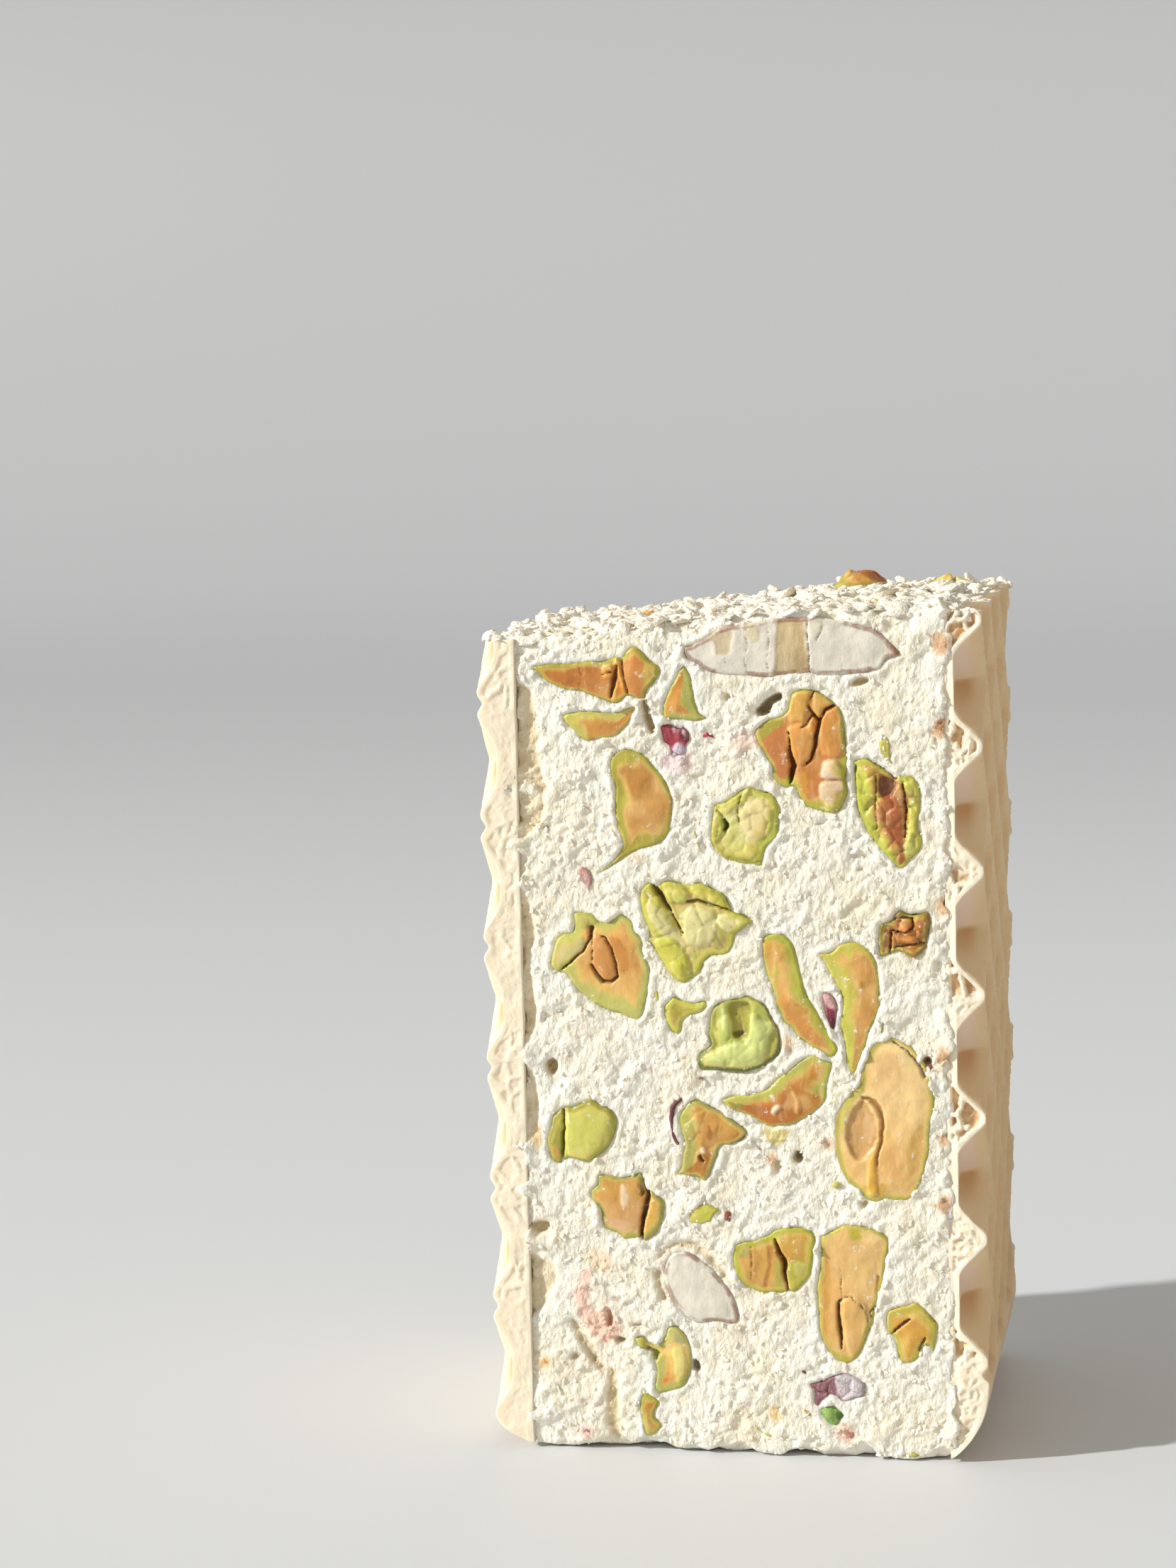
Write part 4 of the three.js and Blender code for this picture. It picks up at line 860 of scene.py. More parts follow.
def plainLook(name, number):  # a nut on a hidden side, from a seed
    ring = smoothRing(nodeShapes[name][0], 0.8)
    drift = withThird(ring, number * 3.1)
    size = np.ptp(ring, axis=0)
    amount = (0.1 if name.startswith("pistachio") else 0.02) * size.min()
    chipped = amount * (1.2 * smoothNoise(drift / 3.4, 41) + 0.7 * smoothNoise(drift / 1.5, 42))
    ring = ring + outwardOf(ring) * chipped[:, None]
    if not name.startswith("pistachio"):
        return {"skin": 0.8, **nutLooks.get(name, {}), "outline": ring}
    random = np.random.default_rng(number + 40)
    size = np.ptp(ring, axis=0)
    centre, reach = ring.mean(0), 0.42 * size.min()
    lean = random.uniform(0, math.pi)
    way = np.array([math.cos(lean), math.sin(lean)]) * reach
    bent = np.array([-way[1], way[0]]) * random.uniform(-0.3, 0.3)
    allGreen = random.random() < 0.3
    colours = paleKinds if allGreen else fleshes
    look = {
        "flesh": colours[random.integers(len(colours))], "other": colours[random.integers(len(colours))],
        "lean": (centre - way, centre + way), "green": greens[random.integers(len(greens))],
        "rims": {angle: random.uniform(0.1, 1.1) for angle in range(0, 360, 60)},
        "rough": random.uniform(1.0, 1.6), "lobes": [], "outline": ring,
    }
    for _ in range(random.integers(1, 4) + 2 * allGreen):
        spot = centre + random.uniform(-0.7, 0.7, 2) * size / 2
        halves = reach * random.uniform(0.3, 0.8), reach * random.uniform(0.2, 0.5)
        shape = oval(*spot, *halves, random.uniform(0, 3))
        look["lobes"].append((colours[random.integers(len(colours))], random.uniform(0, 0.25), shape))
    if random.random() < 0.65:
        wide = random.uniform(0.1, 0.2)
        line = [(*(centre - way), wide * 0.4), (*(centre + bent), wide), (*(centre + way), wide * 0.5)]
        look["cracks"] = [(crackBrown, random.uniform(0.5, 1.1), np.array(line))]
    return {**look, **nutLooks.get(name, {})}


def paintOver(paint, share, code):
    share = np.clip(share, 0, 1)[:, None]
    return paint * (1 - share) + np.array(hexColour(code)[:3]) * share


def outwardOf(ring, blur=1):  # the way out along a closed outline
    along = np.roll(ring, -1, axis=0) - np.roll(ring, 1, axis=0)
    outward = np.stack([along[:, 1], -along[:, 0]], axis=1)
    outward /= np.maximum(np.linalg.norm(outward, axis=1), 1e-9)[:, None]
    return sum(np.roll(outward, k, axis=0) for k in range(1 - blur, blur)) / (2 * blur - 1)


nutLooks.update({
    name: plainLook(name, number) for number, name in enumerate(nodeShapes) if "outline" not in nutLooks.get(name, {})
})


def nutEdge(look, number, spacing):  # the outline of the cut face, a little larger and wavy
    grow = nutShape["grow"]
    ring = smoothRing(look["outline"], spacing)
    moved = ring + outwardOf(ring, 2) * grow
    ring = evenSteps(moved[distanceTo(moved, ring) > grow * 0.9], spacing, True)
    wobble = layeredNoise(withThird(ring, number * 7.3) / 1.2, 2, 60 + number) * nutShape["wobble"]
    return ring + outwardOf(ring) * (wobble * min(look.get("rough", 1.0), 2))[:, None]


def nutFace(look, number, kind, ring, points, spacing):  # height and colour all over the cut face
    rough = look.get("rough", 1.0)
    deep = signedDistance(points, ring)
    deep[: len(ring)] = 0
    spots = withThird(points, number * 7.3)
    fine, broad = smoothNoise(spots / 0.4, 31 + number), smoothNoise(spots / 1.5, 30 + number)
    drift = smoothNoise(spots / 2.3, 130 + number)

    over = np.clip(deep / nutShape["roundOver"], 0, 1)
    height = nutShape["proud"] - nutShape["roundOver"] * (1 - np.sqrt(1 - (1 - over) ** 2))
    height += look.get("dome", nutShape["dome"]) * ease(0, nutShape["domeReach"], deep)
    swell = nutShape["swell"] * layeredNoise(spots / 2.4, 2, 84 + number)
    height += ease(0, 0.8, deep) * (swell + nutShape["ripple"] * rough * layeredNoise(spots / 1.3, 2, 80 + number))
    near, second, _, own = cellNoise(spots / 1.7, 90 + number)
    seams = nutShape["seams"] * np.exp(-(((second - near) / nutShape["seamWidth"]) ** 2))
    height += ((own - 0.5) * nutShape["facets"] - seams) * (rough - 0.9) * ease(0.1, 0.8, deep)

    paint = np.tile(hexColour(look.get("flesh", nutPaint["flesh"][kind]))[:3], (len(points), 1))
    if "other" in look:
        share = 0.5 + 0.6 * broad
        if "lean" in look:
            start, end = (np.array(v, float) for v in look["lean"])
            share = (points - start) @ (end - start) / ((end - start) @ (end - start))
        paint = paintOver(paint, ease(0, 1, share + 0.3 * broad), look["other"])
    if kind == "pistachio":
        for sign, strength, code in nutPaint["drifts"]:
            paint = paintOver(paint, strength * ease(0.1, 0.8, sign * drift), code)
    for code, lift, shape in look.get("lobes", []):
        reach = signedDistance(points, smoothRing(shape, 0.2)) + 0.1 * fine
        paint = paintOver(paint, ease(-0.1, 0.22, reach) * 0.94, code)
        height += lift * (ease(-0.06, 0.3, reach) + 0.3 * ease(0.2, 1.0, reach))
    if kind == "pistachio":
        outward = outwardOf(ring, max(int(0.7 / spacing), 1))
        facing = np.degrees(np.arctan2(outward[:, 1], outward[:, 0]))
        widths = np.interp(facing, list(look["rims"]), list(look["rims"].values()), period=360)
        nearest = np.argmin(((points[:, None, :] - ring[None, ::2, :]) ** 2).sum(2), axis=1) * 2
        wide = np.maximum(widths[nearest] * nutPaint["bandWidth"], 0.03) * (1 + 0.5 * broad + 0.25 * fine) + 0.15
        for start, end, strength, code in nutPaint["bands"]:
            paint = paintOver(paint, (1 - ease(start, end, deep / wide)) * strength, code or look["green"])
        code, strength = nutPaint["lime"]
        paint = paintOver(paint, (1 - ease(0.3, 1.1, deep / wide)) * ease(-0.2, 0.6, drift) * strength, code)
    code, strength, edge, reach, least = nutPaint["skins"][kind]
    skin = (1 - ease(edge, edge + reach, deep)) * ease(least, least + 0.6, broad + 0.4 * fine)
    paint = paintOver(paint, skin * look.get("skin", strength), code)
    paint = paint * (1 + 0.07 * broad + 0.04 * fine)[:, None]
    for code, fall, line in look.get("cracks", []):
        line = evenSteps(line, 0.15)
        bends = withThird(line[:, :2], line[:, 0]) * 1.6
        line[:, :2] += 0.07 * np.column_stack([smoothNoise(bends, 7 + k) for k in (0, 1)])
        gap = np.linalg.norm(points[:, None, :] - line[None, :, :2], axis=2)
        nearest = np.argmin(gap, axis=1)
        share = gap[np.arange(len(points)), nearest] / (line[nearest, 2] * (1 + 0.25 * fine))
        height -= fall * np.exp(-(share**3))
        paint = paintOver(paint, np.exp(-((share / 1.1) ** 3)) * 0.75, code)
        # darker still along the middle of a crack: painted shade
        paint = paintOver(paint, np.exp(-((share / 0.6) ** 2)) * 0.4 * min(fall, 1), nutPaint["crackShade"])
    return height, paint


def nutMesh(look, number, rim, depth, side, spacing, kind):  # points in mm, faces and paint
    out, across, up = (np.array(v, float) for v in sides[side])
    ring = nutEdge(look, number, spacing)
    points, faces = fillRing(ring, scatterInside(ring, spacing, number))
    height, paint = nutFace(look, number, kind, ring, points, spacing)
    base = rim + height
    layers = [points[:, :1] * across + points[:, 1:] * up + base[:, None] * out]
    centre, count, total, rings = ring.mean(0), len(ring), len(points), nutShape["rings"]
    for k in range(1, rings + 1):
        t = k / rings
        level = base[:count] * (1 - t) + (rim - depth) * t
        spot = centre + (ring - centre) * (1 - (1 - nutShape["underside"]) * t**1.5)
        layers.append(spot[:, :1] * across + spot[:, 1:] * up + level[:, None] * out)
    starts = [0] + [total + count * k for k in range(rings)]
    order = np.arange(count)
    after = np.roll(order, -1)
    for upper, lower in zip(starts, starts[1:]):
        faces += np.column_stack([upper + order, lower + order, lower + after, upper + after]).tolist()
    _, floor = fillRing(ring, [])
    faces += [[starts[-1] + k for k in face[::-1]] for face in floor]
    places = np.vstack(layers)
    wall = hexColour(look.get("green", look.get("flesh", nutPaint["flesh"][kind])))[:3]
    paint = np.vstack([paint, np.tile(wall, (len(places) - total, 1))]) * nutPaint["glow"][kind]
    return places, faces, np.column_stack([np.clip(paint, 0, 0.96), np.ones(len(places))])


def solidPiece(name, parts):  # joins closed parts into one object, faces outwards
    places, faces, paint, start = [], [], [], 0
    for points, rings, colours in parts:
        places.append(points)
        paint.append(colours)
        faces += [[k + start for k in face] for face in rings]
        start += len(points)
    piece = meshObject(name, np.vstack(places) * mm, faces, {"paint": np.vstack(paint)})
    work = bmesh.new()
    work.from_mesh(piece.data)
    bmesh.ops.holes_fill(work, edges=[edge for edge in work.edges if edge.is_boundary], sides=8)
    bmesh.ops.recalc_face_normals(work, faces=work.faces)
    work.to_mesh(piece.data)
    work.free()
    return piece


def nutPiece(name, number):
    side, kind = sideOf(name), name.split("_")[0]
    _, rim, depth = nodeShapes[name]
    step = nutShape["frontStep" if side == "front" else "hiddenStep"]
    points, faces, paint = nutMesh(nutLooks[name], number, rim, depth, side, step, kind)
    if side == "top":
        points[:, 2] -= slumpAt(points)
    points[:, 2] = points[:, 2].clip(0)
    return solidPiece(name.replace("pistachio", "pistachioNut"), [(points, faces, paint)])


def chipPiece(kind, number):
    rim = nougatShape["half"][1] + nutShape["chipProud"]
    parts = []
    for k, (code, depth, outline) in enumerate(chips[kind]):
        look = {"outline": outline, "flesh": code, "green": code, "rims": {0: 0.1}, "skin": 0.35}
        parts.append(nutMesh(look, number + k, rim, depth, "front", nutShape["chipStep"], kind))
    return solidPiece(kind + "Chips", parts)


kernelFinishes = {
    "pistachio": {
        "soft": 0.45, "softReach": (1.0, 0.62, 0.25), "reach": 1.3, "streak": "F3D8A8", "fleck": "9A6A2E",
        "fleckShare": 0.12, "dust": "F8F0DE", "dustFrom": 0.61, "gloss": (0.32, 0.55), "lift": 0.035,
    },
    "almond": {
        "soft": 0.35, "softReach": (1.0, 0.8, 0.6), "reach": 1.2, "streak": "F4F0E6", "fleck": "C9BB9C",
        "fleckShare": 0.3, "dust": "F8F4EA", "dustFrom": 0.66, "gloss": (0.4, 0.62), "lift": 0.05,
    },
    "fruit": {
        "soft": 0.3, "softReach": (1.0, 0.3, 0.3), "reach": 1.0, "streak": "E6B8BE", "fleck": "4A1220",
        "fleckShare": 0.5, "dust": "F0DDE0", "dustFrom": 0.6, "gloss": (0.25, 0.55), "lift": 0.14,
    },
}


def kernelMaterial(kind):
    look = kernelFinishes[kind]
    material, tree, shader, place = newMaterial(kind, look["soft"], look["softReach"], look["reach"])
    long = nodeIn(tree, "ShaderNodeMapping", None, {"Vector": place, "Scale": (1, 1, 0.25)})
    streaks = noiseIn(tree, long, 1500, 3, 0.65)
    grain = noiseIn(tree, place, 4600, 3, 0.6)
    dust = noiseIn(tree, place, 1100, 5, 0.7).step(look["dustFrom"], look["dustFrom"] + 0.07, 0, 0.8)
    colour = tinted(
        tree, attributeIn(tree, "paint", "Color"), (streaks.step(0.5, 0.75, 0, 0.3), look["streak"]),
        (grain.step(0.52, 0.85, 0, look["fleckShare"]), look["fleck"]), (dust, look["dust"]),
    )
    finish(tree, shader, colour, grain.step(0, 1, *look["gloss"]), grain + streaks * 1.2 + dust, look["lift"])
    shader.inputs["Coat Weight"].default_value = 0.12
    return material


nougatShape = {
    "half": (21.85, 19.3), "top": 86.5,
    "front": 0.2, "back": 0.3, "lid": 0.28, "base": 1.0, "hidden": 1.6,  # steps of the mesh on its faces
    "edge": 1.5, "edgeWander": 0.75, "sideEdge": 0.2,  # rounding, and the share of it along the wafers
    "slump": 3.2, "slumpFrom": 58,
    "ragged": 0.38, "lifted": 1.2,  # of the sides, and of the lower edges
    "gap": 0.22, "lapOut": 0.6, "lapOver": 0.8,  # where it gives way to the sheets or laps over them
    "creep": 0.24, "lapNuts": 0.3, "pocket": 0.4, "bed": 0.32,  # round the nuts
    "mostTriangles": 196000,
}
nougatCrumb = {
    "lumps": ((3.3, 0.3, 0.34, 12), (1.4, 0.17, 0.35, 22), (0.7, 0.06, 0.3, 32)),  # size, height, warp, seed
    "slant": ((0.8, 0, 0.6), (0, 1, 0), (-0.6, 0, 0.8)),  # strands run from lower left to upper right
    "stretch": (1.0, 1.0, 0.62), "flakeStretch": (1.35, 1.1, 0.5), "flakeLift": 0.9,
    "ridge": 0.15, "pit": 0.28, "grit": 0.03, "broad": 0.16,
}


def slumpAt(points):  # how far the top has sunk towards the left
    leftward = np.clip((21.5 - points[:, 0]) / 43, 0, 1)
    rearward = np.clip((points[:, 1] + 19.5) / 39, 0, 1)
    drop = nougatShape["slump"] * leftward**1.6 * (0.92 + 0.25 * rearward)
    return drop * ease(nougatShape["slumpFrom"], nougatShape["top"], points[:, 2])


def gridFace(acrossLine, upLine):  # points and triangles of a plain grid
    a, b = np.meshgrid(acrossLine, upLine)
    points = np.column_stack([a.ravel(), b.ravel()])
    wide = len(acrossLine)
    cells = np.array([r * wide + c for r in range(len(upLine) - 1) for c in range(wide - 1)])
    flip = ((cells + cells // wide) % 2 == 0)[:, None]
    low, right, high, far = cells, cells + 1, cells + wide, cells + wide + 1
    first = np.where(flip, np.column_stack([low, right, far]), np.column_stack([low, right, high]))
    second = np.where(flip, np.column_stack([low, far, high]), np.column_stack([right, far, high]))
    return points, np.vstack([first, second])


def rimmedFace(bottom, right, upper, left, spacing, seed):  # a filled rectangle whose edges have their own steps
    low, high = (left[0][0], bottom[0][1]), (right[0][0], upper[0][1])
    ring = np.vstack([bottom[:-1], right[:-1], upper[::-1][:-1], left[::-1][:-1]])
    random = np.random.default_rng(seed)
    lines = [np.linspace(low[k], high[k], max(int((high[k] - low[k]) / spacing), 2) + 1)[1:-1] for k in (0, 1)]
    a, b = np.meshgrid(*lines)
    inner = np.column_stack([a.ravel(), b.ravel()])
    inner += random.uniform(-0.2, 0.2, inner.shape) * spacing
    return fillRing(ring, inner)


def steps(low, high, spacing):
    return np.linspace(low, high, max(int(round((high - low) / spacing)), 2) + 1)


def lineOf(a, b):
    return np.column_stack(np.broadcast_arrays(np.asarray(a, float), np.asarray(b, float)))


def atLevel(points, axis, level):  # flat points set upright at a level of the third axis
    return np.insert(points, axis, level, axis=1)


def joinFaces(parts):  # welds faces that share their edges' points; a part is points, faces, whether to turn it over
    places, joined, start = [], [], 0
    for points, faces, flip in parts:
        faces = np.asarray(faces)
        joined.append((faces[:, ::-1] if flip else faces) + start)
        places.append(points)
        start += len(points)
    places, joined = np.vstack(places), np.vstack(joined)
    _, first, index = np.unique(np.round(places, 5), axis=0, return_index=True, return_inverse=True)
    return places[first], index.ravel()[joined]


def blockMesh():  # a box whose front, back and top are fine grids, in mm
    (hx, hy), top, lid = nougatShape["half"], nougatShape["top"], nougatShape["lid"]
    front, back = ([steps(-hx, hx, step), steps(0, top, step)] for step in (nougatShape["front"], nougatShape["back"]))
    deepTop, deepBase = steps(-hy, hy, lid), steps(-hy, hy, nougatShape["hidden"])
    parts = []
    for lines, y, flip in ((front, -hy, 0), (back, hy, 1)):
        points, faces = gridFace(*lines)
        parts.append((atLevel(points, 1, y), faces, flip))
    for level, deep, spacing, flip in ((top, deepTop, lid, 0), (0.0, deepBase, nougatShape["base"], 1)):
        edges = (lineOf(front[0], -hy), lineOf(hx, deep), lineOf(back[0], hy), lineOf(-hx, deep))
        points, faces = rimmedFace(*edges, spacing, 5 + flip)
        parts.append((atLevel(points, 2, level), faces, flip))
    for side in (-1, 1):
        edges = (lineOf(deepBase, 0), lineOf(hy, back[1]), lineOf(deepTop, top), lineOf(-hy, front[1]))
        points, faces = rimmedFace(*edges, nougatShape["hidden"], 9 + side)
        parts.append((atLevel(points, 0, side * hx), faces, side < 0))
    return joinFaces(parts)


def crumbRelief(points, flaky):  # how far the cut surface stands out, in mm
    crumb = nougatCrumb
    drift = [smoothNoise(points / 1.9, 5 + k) + 0.5 * smoothNoise(points / 0.8, 15 + k) for k in range(3)]
    drift = np.column_stack(drift)
    slanted = points @ np.array(crumb["slant"]).T
    lumps = np.zeros(len(points))
    for size, amount, warp, salt in crumb["lumps"]:
        stretch = np.array(crumb["stretch"]) * size * np.where(flaky[:, None] > 0, crumb["flakeStretch"], 1.0)
        near, _, _, own = cellNoise(slanted / stretch + drift * warp, salt)
        lumps += amount * ((0.35 + own) * np.exp(-((near * 1.5) ** 2)) - 0.42)
    strand = smoothNoise((slanted + drift * 0.5) / [1.9, 1.9, 0.55], 61)
    ridge = crumb["ridge"] * (1 - np.abs(strand) * 2.2).clip(0, 1) * ease(-0.2, 0.5, smoothNoise(points / 4.0, 62))
    torn = smoothNoise((slanted + drift * 0.6) / [0.9, 0.9, 0.6], 71) + 0.5 * smoothNoise(points / 0.42, 72)
    pits = -crumb["pit"] * ease(0.42, 1.05, torn) * ease(-0.3, 0.4, smoothNoise(points / 3.2, 73))
    grit = crumb["grit"] * layeredNoise(points / 0.5, 2, 33)
    broad = crumb["broad"] * layeredNoise(points / 8.0, 2, 51)
    return broad + lumps * (1 + crumb["flakeLift"] * flaky) + ridge + pits + grit


# each a colour, its strength, how far the front face falls there, and an outline; the colour is painted shade in the
# hollow
hollows = shapes("""8A7848 .7 1.6 3,76.3 3.7,77.1 4.5,77.7 5.3,78 5.1,77.4 4.4,77 4.1,76.2 3.3,76
    / 9A8858 .5 1.4 oval 6.4 31.1 .4 .5 / C4AC7C .8 1 oval -18.7 40 .5 .75 / B87878 .7 .9 oval -13.35 13.9 .18 .9
    / FFFFFF 0 .8 oval 0 77.7 .3 .3 / B8A880 .6 1.1 -8.5,77.6 -8.1,77.6 -8,76.3 -7.4,74.6 -7.8,74.2 -8.4,76.3
    / C8B080 .5 .8 oval 13.3 79.2 .8 .3 .2 / FFFFFF 0 .7 oval 4.3 30 .4 .6 / C0B09A .6 .5 oval -12.5 15.9 .45 .25
    / FFFFFF 0 .7 oval 13 26.5 .3 .3 / B8AC90 .5 .5 oval -16.9 9.7 .5 .4
    / D9CBAA .6 .4 -8.1,20.7 -7.3,21.5 -6,22.2 -4.4,22.1 -3,21.2 -1.6,19.6 -.6,18 -1.4,18.4 -3.9,20.9 -5.2,21.4
      -6.6,21.3 -7.6,20.3
    / CDBD98 .6 .5 -8.5,18.8 -7.8,19 -7.6,17.4 -7.2,16 -7.8,16.1 -8.3,17.6
    / D9CBA4 .6 .4 -13.3,8.6 -12.8,8.2 -12.5,6 -12.4,3.5 -12.3,1.8 -12,.4 -12.5,.4 -13.3,1.6 -13.8,3.6 -13.8,6
      -13.6,7.8
    / E4D6B4 .5 .42 -22.6,78.8 -20,78.5 -19.3,75 -19.2,71.5 -18.4,68.6 -19.2,68.2 -20.4,69.4 -22.6,69
    / E4D6B4 .5 .42 -22.6,68 -19.2,67.6 -18.8,66.4 -20,64 -22.6,63.6
    / E4D6B4 .5 .4 -22.6,58.4 -20.9,57.5 -20,54 -20.6,51 -20.1,46 -20.8,43 -22.6,42.6
    / E4D6B4 .5 .4 -22.6,40.4 -20.8,39.5 -20.1,36 -20.7,33 -22.6,32.6
    / DFD3B4 .5 .42 -22.6,20 -19.4,19.6 -18.6,18 -19.3,16.6 -20.4,14.6 -22.6,14
    / CFC4A4 .6 .4 -17.4,13.4 -16.8,13.4 -15.4,11.4 -14.4,9.4 -13.6,8.2 -14.8,8.6 -16.2,10.8
    / C9B78F .7 .7 oval -20.2 23.3 .9 .6 / 7E7440 .6 .8 oval -12.2 11.6 .5 .25
    / 4E4A1C .7 .9 oval -4.4 9.2 .3 .6 .3 / A09A60 .6 .5 oval -10.4 13.2 .5 .25
    / 7A4020 .8 .9 oval 19.5 41.2 .4 .4""", 2, 2)
# the pink and yellow marks are real stains; the brown spots at x ±20.4 to 21.2, along the sheets, are painted shade in
# the gaps
stainsAndGapShade = {  # on each face: a colour, its strength and an outline
    "front": shapes("""F2D0CC .85 -17,16 -16.4,17.9 -15.6,18.9 -15.1,17.9 -15.2,16 -14.7,14.7 -13.3,15.1
      -12.3,13.1 -12.6,11.8 -14,11.1 -14.8,11.9 -15.8,13.1 -16.5,14.4
    / F6DCC6 .7 -15.2,21.2 -13.4,21 -12.8,19.6 -13.6,18.8 -15,19.4
    / E5DC90 .8 3,34.1 4.5,34 5.6,33.9 4.4,32.4 3.2,32.8 / E5C090 .8 oval 3.6 31 .4 .8
    / E9CBAA .8 oval 5.5 43 .6 .7 / F0DCA8 .8 oval 3.8 4.4 .7 .7 / E2CCDC .7 oval -5.2 71.4 1.6 1.1
    / DCB4B8 .6 oval -16.1 2 .9 .7 / DDB0A0 .6 oval 10.8 2.9 1 1 / DDB89C .7 oval 9.4 32.6 .8 .6
    / EFCB92 .8 oval -20.2 9 .7 .7 / F4D4D6 .6 oval 2 73.4 1.4 1 / E8D0BC .5 oval -9.4 61.6 1 .8
    / E8C8B0 .4 oval -10.4 80.9 .9 .5 / C79E72 .8 oval 21 74.4 .7 .8 / C79E72 .8 oval 21.2 82.8 .9 1.2
    / CFA97E .8 oval 21.2 56.8 .6 .9 / C79E72 .8 oval 21 41.8 .6 .8 / C79E72 .8 oval 21 33.2 .6 .7
    / C79E72 .8 oval 21.2 26.6 .7 .8 / B98A5E .8 oval 21.2 75.2 .5 .6 / E2C48C .7 oval -20.4 32.8 .5 1.2
    / B8A8B4 .6 oval -8.6 39.9 .4 .4"""),
    "back": shapes("""EFC8CE .7 oval 6 60 2.6 1.8 / F0D0D4 .6 oval -4 34 2.2 2.4"""),
    "top": shapes("""C9BE90 .6 oval -10.6 -17 1.6 .9 / CDBB90 .6 oval -16.8 -15 1 1.6
    / EBD0C4 .5 oval 9 6 2.2 1.6"""),
}


def reachIn(shape, flat, allowed, margin, fineness):  # the points near an outline, and how far inside it they are
    ring = smoothRing(shape, fineness)
    index = np.flatnonzero(allowed & np.all((flat > ring.min(0) - margin) & (flat < ring.max(0) + margin), axis=1))
    return index, signedDistance(flat[index], ring), ring


def roundedBlock():  # the block with worn edges and ragged sides, before its crumb
    points, faces = blockMesh()
    (hx, hy), top = nougatShape["half"], nougatShape["top"]
    low, high = np.array([-hx, -hy, 0]), np.array([hx, hy, top])
    wander = 1 + nougatShape["edgeWander"] * layeredNoise(points / 3.4, 2, 70)
    radius = nougatShape["edge"] * wander.clip(0.25)
    radius = np.where(points[:, 2] < 4, 0.6 * radius, radius)[:, None] * np.array([nougatShape["sideEdge"], 1, 1])
    core = np.clip(points, low + radius, high - radius)
    way = (points - core) / radius
    way /= np.maximum(np.linalg.norm(way, axis=1), 1e-9)[:, None]
    places = core + way * radius
    ragged = smoothNoise(points / 1.3, 81) + 0.6 * smoothNoise(points / 0.6, 82)
    sideways = np.sign(places[:, 0])
    places[:, 0] += sideways * nougatShape["ragged"] * ragged * ease(hx - 1.2, hx, np.abs(places[:, 0]))
    lifted = smoothNoise(points / [2.6, 4.0, 9.0], 83) + 0.4 * smoothNoise(points / 1.1, 84)
    lifted = nougatShape["lifted"] * lifted.clip(0)
    places[:, 2] += lifted * ease(3.5, 0.0, places[:, 2]) * ease(hy - 4, hy, np.abs(places[:, 1]))
    places[:, 2] -= slumpAt(places)
    return points, faces, way, places


